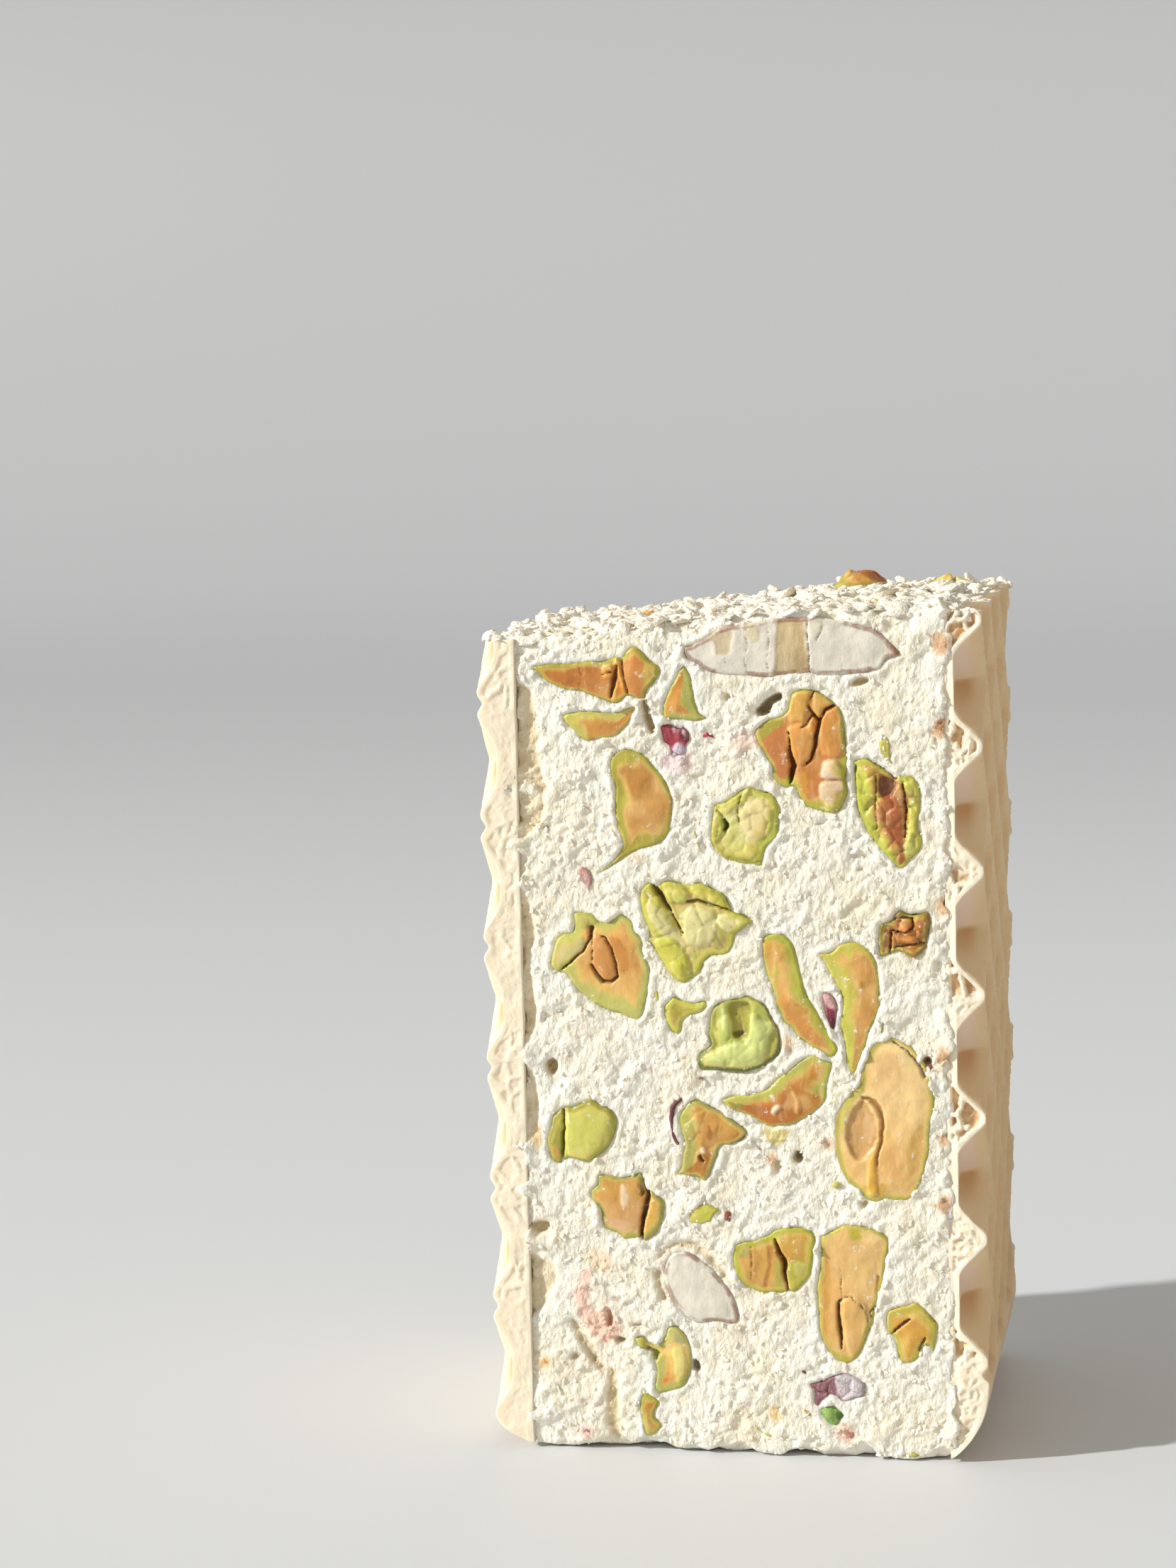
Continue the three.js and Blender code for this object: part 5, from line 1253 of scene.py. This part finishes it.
def nougatPiece():
    points, faces, way, places = roundedBlock()
    hx, hy = nougatShape["half"]
    onTop = ease(0.5, 0.95, way[:, 2])
    onBase = ease(0.5, 0.95, -way[:, 2])
    onSide = ease(0.6, 0.95, np.abs(way[:, 0]))
    relief = crumbRelief(points, onTop) - 0.1 * (1 - onTop)
    margin = np.sqrt(ease(hx - 0.9, hx, -places[:, 0]) * ease(hy - 1.0, hy, -places[:, 1]))
    relief -= nougatShape["gap"] * margin * (1 + smoothNoise(points / 2.2, 87))
    beside = ease(hx - 1.6, hx - 0.5, np.abs(places[:, 0])) * ease(hy - 1.0, hy, np.abs(places[:, 1]))
    beside *= ease(0.0, 0.4, smoothNoise(points / 1.7, 88)) * np.where(places[:, 0] < 0, 1.0, 0.45)
    relief += nougatShape["lapOut"] * beside
    places[:, 0] += np.sign(places[:, 0]) * nougatShape["lapOver"] * beside
    relief = relief * (1 - onBase * 0.97) * (1 - 0.6 * onSide)
    tint = np.ones((len(points), 3))
    bare = np.ones(len(points))
    creep = nougatShape["creep"] * smoothNoise(points / 1.1, 200) + 0.18 * smoothNoise(points / 0.5, 240)
    lap = nougatShape["lapNuts"] * ease(0.2, 0.7, smoothNoise(points / 0.9, 260))
    fallen = relief.copy()
    faceOn = {}
    for side, axes in sides.items():
        out, across, up = (np.array(v, float) for v in axes)
        faceOn[side] = way @ out, np.column_stack([places @ across, places @ up])

    for name, (_, _, depth) in nodeShapes.items():  # a pocket for each nut, with the nougat creeping over its rim
        facing, flat = faceOn[sideOf(name)]
        index, reach, ring = reachIn(nutLooks[name]["outline"], flat, facing > 0.7, 1.2, 0.3)
        inside = ease(0.0, 0.3, reach - creep[index].clip(-0.1) - nougatShape["pocket"])
        close = ease(-0.8, -0.1, reach)
        level = 0.07 + lap[index] * (1 - ease(0.1, 0.5, reach)) - nougatShape["bed"] * ease(-0.2, 0.35, reach)
        relief[index] = relief[index] * (1 - 0.4 * close) + level * close
        half = np.ptp(ring, axis=0).min() / 2
        share = np.clip((reach + 0.35) / ((1 - nutShape["underside"]) * half), 0, 1)
        bottom = (depth + 0.1) * share**0.65
        relief[index] = relief[index] * (1 - inside) - inside * np.maximum(bottom + 0.25, 1.0)
        bare[index] = np.minimum(bare[index], 1 - ease(0.0, 0.2, reach - creep[index]))

    for code, strength, fall, shape in hollows:
        index, reach, _ = reachIn(shape, faceOn["front"][1], way[:, 1] < -0.6, 1, 0.2)
        reach = reach + 0.12 * smoothNoise(points[index] / 0.5, 77)
        inside = ease(-0.3, 0.35 if fall < 0.65 else 0.15, reach)
        relief[index] -= fall * inside * bare[index]
        fallen[index] -= fall * inside
        bare[index] = np.minimum(bare[index], 1 - 0.8 * inside)
        # the hollow's colour is painted shade
        share = (strength * inside)[:, None]
        tint[index] = tint[index] * (1 - share) + np.array(hexColour(code)[:3]) / 0.86 * share
    for side, spots in stainsAndGapShade.items():
        facing, flat = faceOn[side]
        for code, strength, shape in spots:
            index, reach, _ = reachIn(shape, flat, facing > 0.5, 2, 0.25)
            reach = reach + 0.3 * layeredNoise(points[index] / 1.1, 3, 90)
            share = (strength * ease(-0.25, 0.2, reach))[:, None]
            tint[index] = tint[index] * (1 - share) + np.array(hexColour(code)[:3]) / 0.9 * share

    places = places + way * relief[:, None]
    places[:, 2] = np.maximum(places[:, 2], 0.02)
    bare = bare * (1 - onBase) * (1 - onSide)
    # hollow: how deep the surface lies below its crumb, used for painted shade in the hollows
    piece = meshObject("nougatBody", places * mm, faces, {
        "hollow": np.clip(-fallen - 0.1, 0, 2),
        "tint": np.column_stack([np.clip(tint, 0, 1), np.ones(len(tint))]),
        "bareFront": bare * (way[:, 1] < -0.5), "bareBack": bare * (way[:, 1] > 0.5), "bareTop": bare * onTop,
    })
    fewer = piece.modifiers.new("fewer", "DECIMATE")
    fewer.ratio = min(nougatShape["mostTriangles"] / triangles(piece), 1.0)
    return applied(piece)


def applied(piece):  # the piece with its modifiers applied
    bpy.context.view_layer.update()
    made = bpy.data.meshes.new_from_object(piece.evaluated_get(bpy.context.evaluated_depsgraph_get()))
    piece.modifiers.clear()
    piece.data = made
    return piece


nougatLook = {
    "softReach": (1.0, 0.88, 0.66), "reach": 0.9, "white": "FBF5E8", "cream": "F7ECD6", "grain": "EADFC4",
    "hollow": "D9C9A0", "gloss": (0.66, 0.88), "lift": 0.15,
}


def nougatMaterial(name, soft):
    look = nougatLook
    material, tree, shader, place = newMaterial(name, soft, look["softReach"], look["reach"])
    tint, hollow = attributeIn(tree, "tint", "Color"), attributeIn(tree, "hollow")
    broad = noiseIn(tree, place, 170, 3, 0.6)
    grain = noiseIn(tree, place, 2600, 4, 0.65)
    turned = {"Vector": place, "Rotation": (0, 0.65, 0), "Scale": (1, 1, 0.55)}
    slanted = nodeIn(tree, "ShaderNodeMapping", None, turned)
    strands = 1 - (noiseIn(tree, slanted, 850, 3, 0.55) - 0.5).size() * 5
    colour = tinted(
        # darker cream where the surface falls into hollows: painted shade
        tree, hexColour(look["white"]), (broad.step(0.38, 0.72), look["cream"]),
        (grain.step(0.5, 0.9, 0, 0.25), look["grain"]), (hollow.step(0.1, 0.8, 0, 0.55), look["hollow"]),
    )
    colour = blendColours(tree, 1.0, colour, tint, "MULTIPLY")
    finish(tree, shader, colour, grain.step(0, 1, *look["gloss"]), grain * 0.8 + strands.most(0), look["lift"])
    return material


waferShape = {
    "thickness": 3.9, "innerFace": 21.45, "half": 19.45, "rind": 0.3,
    "pitch": 12.45, "crest": 0.22, "foot": 2.45, "fall": 1.1,  # of the ridges, on both sides of their middle
    "edgeStep": 0.15, "deepStep": 0.195, "faceStep": 0.42, "backStep": 3.0, "layers": 28,  # of the mesh
}
waferSheets = {
    "wafer_right": {
        "side": 1, "low": 0.3, "high": 86.2, "phase": 10.6, "seed": 3, "chip": 8.6, "front": -19.45,
        "foam": 0.75, "foamCell": 2.5, "skin": 0.8,
    },
    "wafer_left": {
        "side": -1, "low": 0.5, "high": 83.6, "phase": 2.5, "seed": 11, "chip": 3.4, "front": -20.6,
        "foam": 0.16, "foamCell": 2.2, "skin": 1.9,
    },
}
waferGrain = {
    "warpScale": 70.0, "warp": (0.5, 0.7), "lumpScale": 330.0, "lumps": 0.14,  # of the waffle
    "ridgeJoin": 0.5, "footJoin": 0.5, "crestJoin": 0.16,  # how softly they run together
    "wornFall": 2.6, "wornLumps": 0.3,  # of the crushed lower corner
    "driftScale": 800.0, "drift": 0.0012, "bubbles": (1.0, 2.3), "filledScale": 95.0,  # of the foam
    "raggedScale": 300.0, "ragged": 0.6, "level": 0.15,  # of the cut edge
}
# baked is the darker tan of the right sheet, which lies in shade: painted shade; pale is the left sheet
waferLook = {
    "soft": 0.28, "softReach": (1.0, 0.72, 0.46), "reach": 1.1, "gloss": (0.45, 0.65), "lift": 0.04,
    "pale": "F4E3C2", "baked": "EBCA9A", "lightly": "EFD3A8", "lit": "F3D6C4", "shaded": "CC9058",
    "cut": "F7E9D0", "foam": "C9975C", "paleFoam": "E6C494", "fleck": "D9B078",
}
waffleSockets = {  # the numbers that the node tree takes, and what they are called above
    "Side": "side", "Inner face": "innerFace", "Thickness": "thickness", "Skin": "skin", "Pitch": "pitch",
    "Phase": "phase", "Crest": "crest", "Foot": "foot", "Fall": "fall", "Foam depth": "foam",
    "Foam cell": "foamCell", "Rind": "rind", "Seed": "seed", "Front edge": "front", "Half depth": "half",
    "Low": "low", "High": "high", "Chip": "chip",
}


def waferBlank(name, sheet):  # a flat sheet, across as a share of its thickness
    low, high, hy = sheet["low"], sheet["high"], waferShape["half"]
    tall, deep = steps(low, high, waferShape["edgeStep"]), steps(-hy, hy, waferShape["deepStep"])
    thick = np.linspace(0, 1, waferShape["layers"] + 1)
    left = sheet["side"] < 0
    parts = []
    for level, spacing, flip in ((1.0, waferShape["faceStep"], 0), (0.0, waferShape["backStep"], 1)):
        edges = (lineOf(deep, low), lineOf(hy, tall), lineOf(deep, high), lineOf(-hy, tall))
        points, faces = rimmedFace(*edges, spacing, 3 + flip)
        parts.append((atLevel(points, 0, level), faces, flip != left))
    for axis, lines, ends in ((1, (thick, tall), ((-hy, 0), (hy, 1))), (2, (thick, deep), ((low, 1), (high, 0)))):
        for level, flip in ends:
            points, faces = gridFace(*lines)
            parts.append((atLevel(points, axis, level), faces, flip != left))
    places, faces = joinFaces(parts)
    near = 1e-4
    onEnd = (np.abs(places[:, 2] - low) < near) | (np.abs(places[:, 2] - high) < near)
    onCut = onEnd | (np.abs(np.abs(places[:, 1]) - hy) < near)
    return meshObject(name, places * mm, faces, {
        "onCut": onCut * 1.0, "onTop": (places[:, 2] > high - near) * 1.0, "tint": np.ones((len(places), 4)),
    })


def newTree(name, sockets):  # a node tree with these inputs, and a wire from each
    tree = bpy.data.node_groups.new(name, "GeometryNodeTree")
    tree.interface.new_socket("Geometry", in_out="OUTPUT", socket_type="NodeSocketGeometry")
    for socket, kind in {"Geometry": "Geometry", **sockets}.items():
        tree.interface.new_socket(socket, in_out="INPUT", socket_type="NodeSocket" + kind)
    given = tree.nodes.new("NodeGroupInput")
    return tree, {socket.name: Wire(tree, socket) for socket in given.outputs if socket.name}


def endTree(tree, shaped, material):
    solid = nodeIn(tree, "GeometryNodeRealizeInstances", None, {"Geometry": shaped})
    done = nodeIn(tree, "GeometryNodeSetMaterial", None, {"Geometry": solid, "Material": material})
    outlet = tree.nodes.new("NodeGroupOutput")
    tree.links.new(done.socket, outlet.inputs[0])


def runTree(piece, tree, settings):  # applies a node tree to a piece and leaves a plain mesh
    modifier = piece.modifiers.new("nodes", "NODES")
    modifier.node_group = tree
    names = {item.name: item.identifier for item in tree.interface.items_tree if item.in_out == "INPUT"}
    for name, value in settings.items():
        modifier[names[name]] = value
    return applied(piece)


def waferTree():  # raises the waffle on a flat blank and eats foam into its cut edges
    tree, value = newTree("waffle", {**dict.fromkeys(waffleSockets, "Float"), "Material": "Material"})
    spot = nodeIn(tree, "GeometryNodeInputPosition")
    maths = spot.maths
    share, deep, tall = partsOf(tree, spot)
    share, deepMm, tallMm = share / mm, deep / mm, tall / mm
    pitch, rind, foot = value["Pitch"], value["Rind"], value["Foot"]

    def seeded(scale, detail=2.0):
        sockets = {"Vector": spot, "W": value["Seed"], "Scale": scale, "Detail": detail}
        return nodeIn(tree, "ShaderNodeTexNoise", {"noise_dimensions": "4D"}, sockets)

    def shifted(first, second, factor=(1.0, 1.0, 1.0)):
        settings = {"operation": "MULTIPLY_ADD"}
        return nodeIn(tree, "ShaderNodeVectorMath", settings, {0: second, 1: factor, 2: first})

    warp = seeded(waferGrain["warpScale"]) - 0.5  # the crossing ridges
    y = deepMm - value["Front edge"] + warp * waferGrain["warp"][0]
    z = tallMm - value["Phase"] + warp * waferGrain["warp"][1]
    ridges = [maths("PINGPONG", (y * sign + z) / pitch, 0.5) * pitch * 0.7071 for sign in (1, -1)]
    gap = maths("SMOOTH_MIN", *ridges, waferGrain["ridgeJoin"])
    wall = ((foot - gap) / (foot - value["Crest"])).most(0)
    rounded = maths("SMOOTH_MAX", wall ** value["Fall"], 0.0, waferGrain["footJoin"])
    rise = maths("SMOOTH_MIN", rounded, 1.0, waferGrain["crestJoin"])
    lumpy = seeded(waferGrain["lumpScale"], 3.0) - 0.5
    height = value["Skin"] + rise * (value["Thickness"] - value["Skin"]) + lumpy * waferGrain["lumps"]

    above = tallMm - value["Low"]  # the crushed lower corner, filled with foam
    worn = (value["Chip"] - above).most(0) / value["Chip"]
    sloped = value["Thickness"] * (1.02 - worn ** waferGrain["wornFall"]) + lumpy * waferGrain["wornLumps"]
    corner = (above - value["Chip"]).step(0.8, -0.6)
    height = height * (1 - corner) + sloped.most(0.2) * corner

    cut = nodeIn(tree, "GeometryNodeInputNamedAttribute", {"data_type": "FLOAT"}, {"Name": "onCut"})
    fromBack, fromFace = share * height, (1 - share) * height
    within = fromBack.step(rind, rind * 2.2) * fromFace.step(rind * 1.3, rind * 3.0)
    place = shifted(vectorOf(tree, share * height * mm, deep, tall), vectorOf(tree, value["Seed"], 0.0, 0.0))
    sockets = {"Vector": place, "Scale": waferGrain["driftScale"], "Detail": 3.0}
    drift = nodeIn(tree, "ShaderNodeTexNoise", None, sockets, "Color")
    drifted = shifted(place, drift, (waferGrain["drift"],) * 3)
    wide, fine = (
        nodeIn(
            tree, "ShaderNodeTexVoronoi", {"feature": "DISTANCE_TO_EDGE"},
            {"Vector": drifted, "Scale": 1000 * factor / value["Foam cell"]}, "Distance",
        )
        for factor in waferGrain["bubbles"]
    )
    filled = seeded(waferGrain["filledScale"], 1.0).step(0.46, 0.54)  # some peaks are full of fine foam
    bubbles = wide.step(0.06, 0.17) * (1 - filled) * 0.85 + fine.step(0.05, 0.25) * 0.2
    foam = bubbles.least(1) * within * cut * value["Foam depth"]

    ragged = (noiseIn(tree, place, waferGrain["raggedScale"], 3.0) - 0.5) * waferGrain["ragged"] * cut
    level = (value["Side"] * waferGrain["level"] + waferGrain["level"]) * cut
    level = level * fromBack.step(1.1, 0.1)  # level with the nougat where they meet
    inward = foam + ragged.most(-0.08) + level
    half = value["Half depth"]
    atFront = deepMm.size().step(half - 0.01, half - 0.001)
    x = (value["Inner face"] + share * height) * value["Side"] * mm
    deepSign, tallSign = maths("SIGN", deep), maths("SIGN", tallMm - value["High"] * 0.5)
    risen = tall - tallSign * inward * (1 - atFront) * mm * cut
    moved = vectorOf(tree, x, deep - deepSign * inward * atFront * mm, risen.most(0.0))

    rows = [maths("FRACT", (z + y * sign) / pitch) for sign in (1, -1)]
    # baked: 1 on the right sheet, which gets painted shade
    layers = {
        "foam": foam / 0.7, "rise": rise * share, "cut": cut, "baked": value["Side"] * 0.5 + 0.5,
        "above": (rows[0] + rows[1] - 1) * 0.5,  # where between the lower and the upper corner of its socket
    }
    stored = value["Geometry"]
    for name, content in layers.items():
        settings, sockets = {"data_type": "FLOAT", "domain": "POINT"}, {"Name": name, "Value": content}
        stored = nodeIn(tree, "GeometryNodeStoreNamedAttribute", settings, {"Geometry": stored, **sockets})
    shaped = nodeIn(tree, "GeometryNodeSetPosition", None, {"Geometry": stored, "Position": moved})
    endTree(tree, shaped, value["Material"])
    return tree


def waferPiece(name, sheet, tree, material):
    piece = waferBlank(name.replace("_", "Sheet_"), sheet)
    given = {**waferShape, **sheet}
    numbers = {socket: float(given[key]) for socket, key in waffleSockets.items()}
    return runTree(piece, tree, {**numbers, "Material": material})


def waferMaterial():
    look = waferLook
    material, tree, shader, place = newMaterial("wafer", look["soft"], look["softReach"], look["reach"])
    foam, rise, cut, above, shadedSheetShare = (attributeIn(tree, name) for name in ("foam", "rise", "cut", "above", "baked"))
    broad = noiseIn(tree, place, 120, 3, 0.6)
    grain = noiseIn(tree, place, 2800, 3, 0.6)
    toasted = noiseIn(tree, place, 700, 3).step(0.35, 0.65)
    socket = (1 - rise.step(0.35, 0.8)) * (1 - cut)
    lit = socket * above.step(0.0, 0.06, 0, 0.7)
    shaded = socket * above.step(0.02, -0.02) * above.step(-0.3, -0.02, 0, 0.75)
    # the right sheet is painted darker than the left: painted shade
    baked = tinted(tree, hexColour(look["baked"]), (broad.step(0.3, 0.7), look["lightly"]))
    baked = blendColours(tree, shadedSheetShare, hexColour(look["pale"]), baked)
    colour = tinted(tree, baked, (lit, look["lit"]), (shaded, look["shaded"]), (cut, look["cut"]))
    # the cut foam's brown is partly its own colour and partly painted shade in the bubbles
    crumb = tinted(tree, hexColour(look["foam"]), (toasted, look["paleFoam"]))
    colour = blendColours(tree, foam.step(0.25, 0.8, 0, 0.8), colour, crumb)
    colour = tinted(tree, colour, (grain.step(0.55, 0.85, 0, 0.2), look["fleck"]))
    finish(tree, shader, colour, grain.step(0, 1, *look["gloss"]), grain, look["lift"])
    return material


# loose crumbs and flakes: where they lie, how many a square metre, the smallest and the largest in mm, how flat they
# are, their turn out of the surface and a seed
scatterSockets = ("Mask", "Density", "Small", "Large", "Flatness", "Tilt", "Seed")
scatters = {
    "nougatCrumbsFront": ("bareFront", 0.65e6, 0.3, 0.9, 0.5, 0.3, 4),
    "nougatCrumbsBack": ("bareBack", 0.55e6, 0.35, 0.9, 0.5, 0.3, 5),
    "nougatFlakesTopLeft": ("onTop", 0.9e6, 1.0, 3.2, 0.4, 0.5, 7),
    "nougatFlakesTopRight": ("onTop", 0.7e6, 1.0, 3.0, 0.4, 0.5, 8),
    "nougatFlakesTop": ("bareTop", 0.6e6, 0.9, 3.5, 0.26, 0.3, 6),
}
crumbForm = {
    "shortest": (0.7, 0.45, 0.7), "longest": (1.5, 0.9, 1.0),  # against its size, three ways
    "fewLarge": 2.5, "jitter": 0.6, "jitterScale": 1300.0,
}


def crumbTree():
    sockets = {"Crumb": "Object", "Mask": "String", "Material": "Material", "Seed": "Int"}
    sockets.update(dict.fromkeys(("Density", "Small", "Large", "Flatness", "Tilt"), "Float"))
    tree, value = newTree("crumbs", sockets)

    def anyBetween(kind, low, high, first=0, output=0):
        sockets = {first: low, first + 1: high, "Seed": value["Seed"]}
        return nodeIn(tree, "FunctionNodeRandomValue", {"data_type": kind}, sockets, output)

    def vectorMaths(operation, first, inputs):
        return nodeIn(tree, "ShaderNodeVectorMath", {"operation": operation}, {0: first, **inputs})

    mask = nodeIn(tree, "GeometryNodeInputNamedAttribute", {"data_type": "FLOAT"}, {"Name": value["Mask"]})
    spread = tree.nodes.new("GeometryNodeDistributePointsOnFaces")
    for wire, name in ((value["Geometry"], "Mesh"), (mask * value["Density"], "Density"), (value["Seed"], "Seed")):
        tree.links.new(wire.socket, spread.inputs[name])
    spots, upright = (Wire(tree, spread.outputs[name]) for name in ("Points", "Rotation"))
    shape = nodeIn(tree, "GeometryNodeObjectInfo", None, {"Object": value["Crumb"]}, "Geometry")
    least, most = (
        vectorOf(tree, value["Tilt"] * sign, value["Tilt"] * sign, turn) for sign, turn in ((-1, 0.0), (1, 6.28))
    )
    turn = anyBetween("FLOAT_VECTOR", least, most)
    turned = nodeIn(tree, "FunctionNodeRotateEuler", {"space": "LOCAL"}, {0: upright, 1: turn})
    share = anyBetween("FLOAT", 0.0, 1.0, 2, 1) ** crumbForm["fewLarge"]
    size = value["Small"] + (value["Large"] - value["Small"]) * share
    long = anyBetween("FLOAT_VECTOR", crumbForm["shortest"], crumbForm["longest"])
    scale = vectorMaths("SCALE", long, {"Scale": size * mm})
    scale = vectorMaths("MULTIPLY", scale, {1: vectorOf(tree, 1.0, 1.0, value["Flatness"])})
    placed = {"Points": spots, "Instance": shape, "Rotation": turned, "Scale": scale}
    placed = nodeIn(tree, "GeometryNodeInstanceOnPoints", None, placed)
    solid = nodeIn(tree, "GeometryNodeRealizeInstances", None, {"Geometry": placed})
    spot = nodeIn(tree, "GeometryNodeInputPosition")
    noise = {"Vector": spot, "Scale": crumbForm["jitterScale"], "Detail": 1.0}
    jitter = vectorMaths("SUBTRACT", nodeIn(tree, "ShaderNodeTexNoise", None, noise, "Color"), {1: (0.5, 0.5, 0.5)})
    jitter = vectorMaths("SCALE", jitter, {"Scale": crumbForm["jitter"] * mm})
    shaken = nodeIn(tree, "GeometryNodeSetPosition", None, {"Geometry": solid, "Offset": jitter})
    endTree(tree, shaken, value["Material"])
    return tree


def crumbShape():  # one soft crumb about 1 across, 24 faces
    work = bmesh.new()
    bmesh.ops.create_cube(work, size=1.0)
    bmesh.ops.subdivide_edges(work, edges=work.edges[:], cuts=1, use_grid_fill=True)
    for vertex in work.verts:
        vertex.co = vertex.co.normalized() * (0.42 + 0.08 * vertex.co.length)
    mesh = bpy.data.meshes.new("crumbShape")
    work.to_mesh(mesh)
    work.free()
    mesh.polygons.foreach_set("use_smooth", [True] * len(mesh.polygons))
    return bpy.data.objects.new("crumbShape", mesh)


def crumbPiece(name, source, tree, shape, material):
    piece = bpy.data.objects.new(name, source.data.copy())
    bpy.context.scene.collection.objects.link(piece)
    settings = dict(zip(scatterSockets, scatters[name]))
    return runTree(piece, tree, {**settings, "Crumb": shape, "Material": material})


backdrop = {
    "near": -1.4, "deep": 1.28, "high": 2.4, "half": 3.0, "bend": 0.35, "bendSteps": 10,  # metres
    "table": ("D9DCE0", "D5D8DC"), "far": "B0B2B6", "wall": "B8BABE", "gloss": (0.5, 0.6),
}


def makeSet(material):
    deep, bend, half = (backdrop[key] for key in ("deep", "bend", "half"))
    profile = [(backdrop["near"], 0.0)] + [(y, 0.0) for y in np.linspace(-0.9, deep - bend, 5)]
    profile += [
        (deep - bend + bend * math.sin(a), bend - bend * math.cos(a))
        for a in np.linspace(0, math.pi / 2, backdrop["bendSteps"] + 1)[1:]
    ]
    profile += [(deep, backdrop["high"])]
    points = [(x, y, z) for y, z in profile for x in (-half, half)]
    faces = [(2 * k, 2 * k + 1, 2 * k + 3, 2 * k + 2) for k in range(len(profile) - 1)]
    floor = meshObject("backdrop", points, faces)
    floor.data.materials.append(material)


def backdropMaterial():
    material, tree, shader, place = newMaterial("backdrop")
    _, deep, high = partsOf(tree, place)
    cloud = noiseIn(tree, place, 3, 2)
    light, dark = backdrop["table"]
    colour = tinted(
        tree, hexColour(light), (cloud, dark), (deep.step(-0.1, 0.8), backdrop["far"]),
        (high.step(0.02, 0.3), backdrop["wall"]),
    )
    finish(tree, shader, colour, cloud.step(0, 1, *backdrop["gloss"]), cloud, 0.0, 0.0)
    return material


makeCamera()
makeLights()
makeSet(backdropMaterial())
print("camera, lights and set made")

materials = {"nougat": nougatMaterial("nougat", 0.5), "crumb": nougatMaterial("nougatCrumb", 0.0)}
materials["wafer"] = waferMaterial()
materials.update({kind: kernelMaterial(kind) for kind in kernelFinishes})

nougat = nougatPiece()
nougat.data.materials.append(materials["nougat"])
place(nougat, "nougat", "nougat")
print("nougat:", triangles(nougat), "triangles")

nutTriangles = 0
for number, name in enumerate(nodeShapes):
    kind = name.split("_")[0]
    nut = nutPiece(name, number)
    nut.data.materials.append(materials[kind])
    place(nut, kind, name)
    nutTriangles += triangles(nut)
print("nuts and fruit:", len(nodeShapes), "pieces,", nutTriangles, "triangles")

for kind, number in (("pistachio", 300), ("fruit", 352)):
    bits = chipPiece(kind, number)
    bits.data.materials.append(materials[kind])
    place(bits, kind)
    print(bits.name + ":", triangles(bits), "triangles")

waffle = waferTree()
sources = dict.fromkeys(("", "nougatCrumbsFront", "nougatCrumbsBack"), nougat)
for name, sheet in waferSheets.items():
    wafer = waferPiece(name, sheet, waffle, materials["wafer"])
    sources[name.split("_")[1].capitalize()] = wafer
    place(wafer, "wafer", name)
    print(name + ":", triangles(wafer), "triangles")

looseTree, looseShape = crumbTree(), crumbShape()
for name in scatters:
    loose = crumbPiece(name, sources[name.split("Top")[-1]], looseTree, looseShape, materials["crumb"])
    place(loose, "nougat")
    print(name + ":", triangles(loose), "triangles")
bpy.data.objects.remove(looseShape)
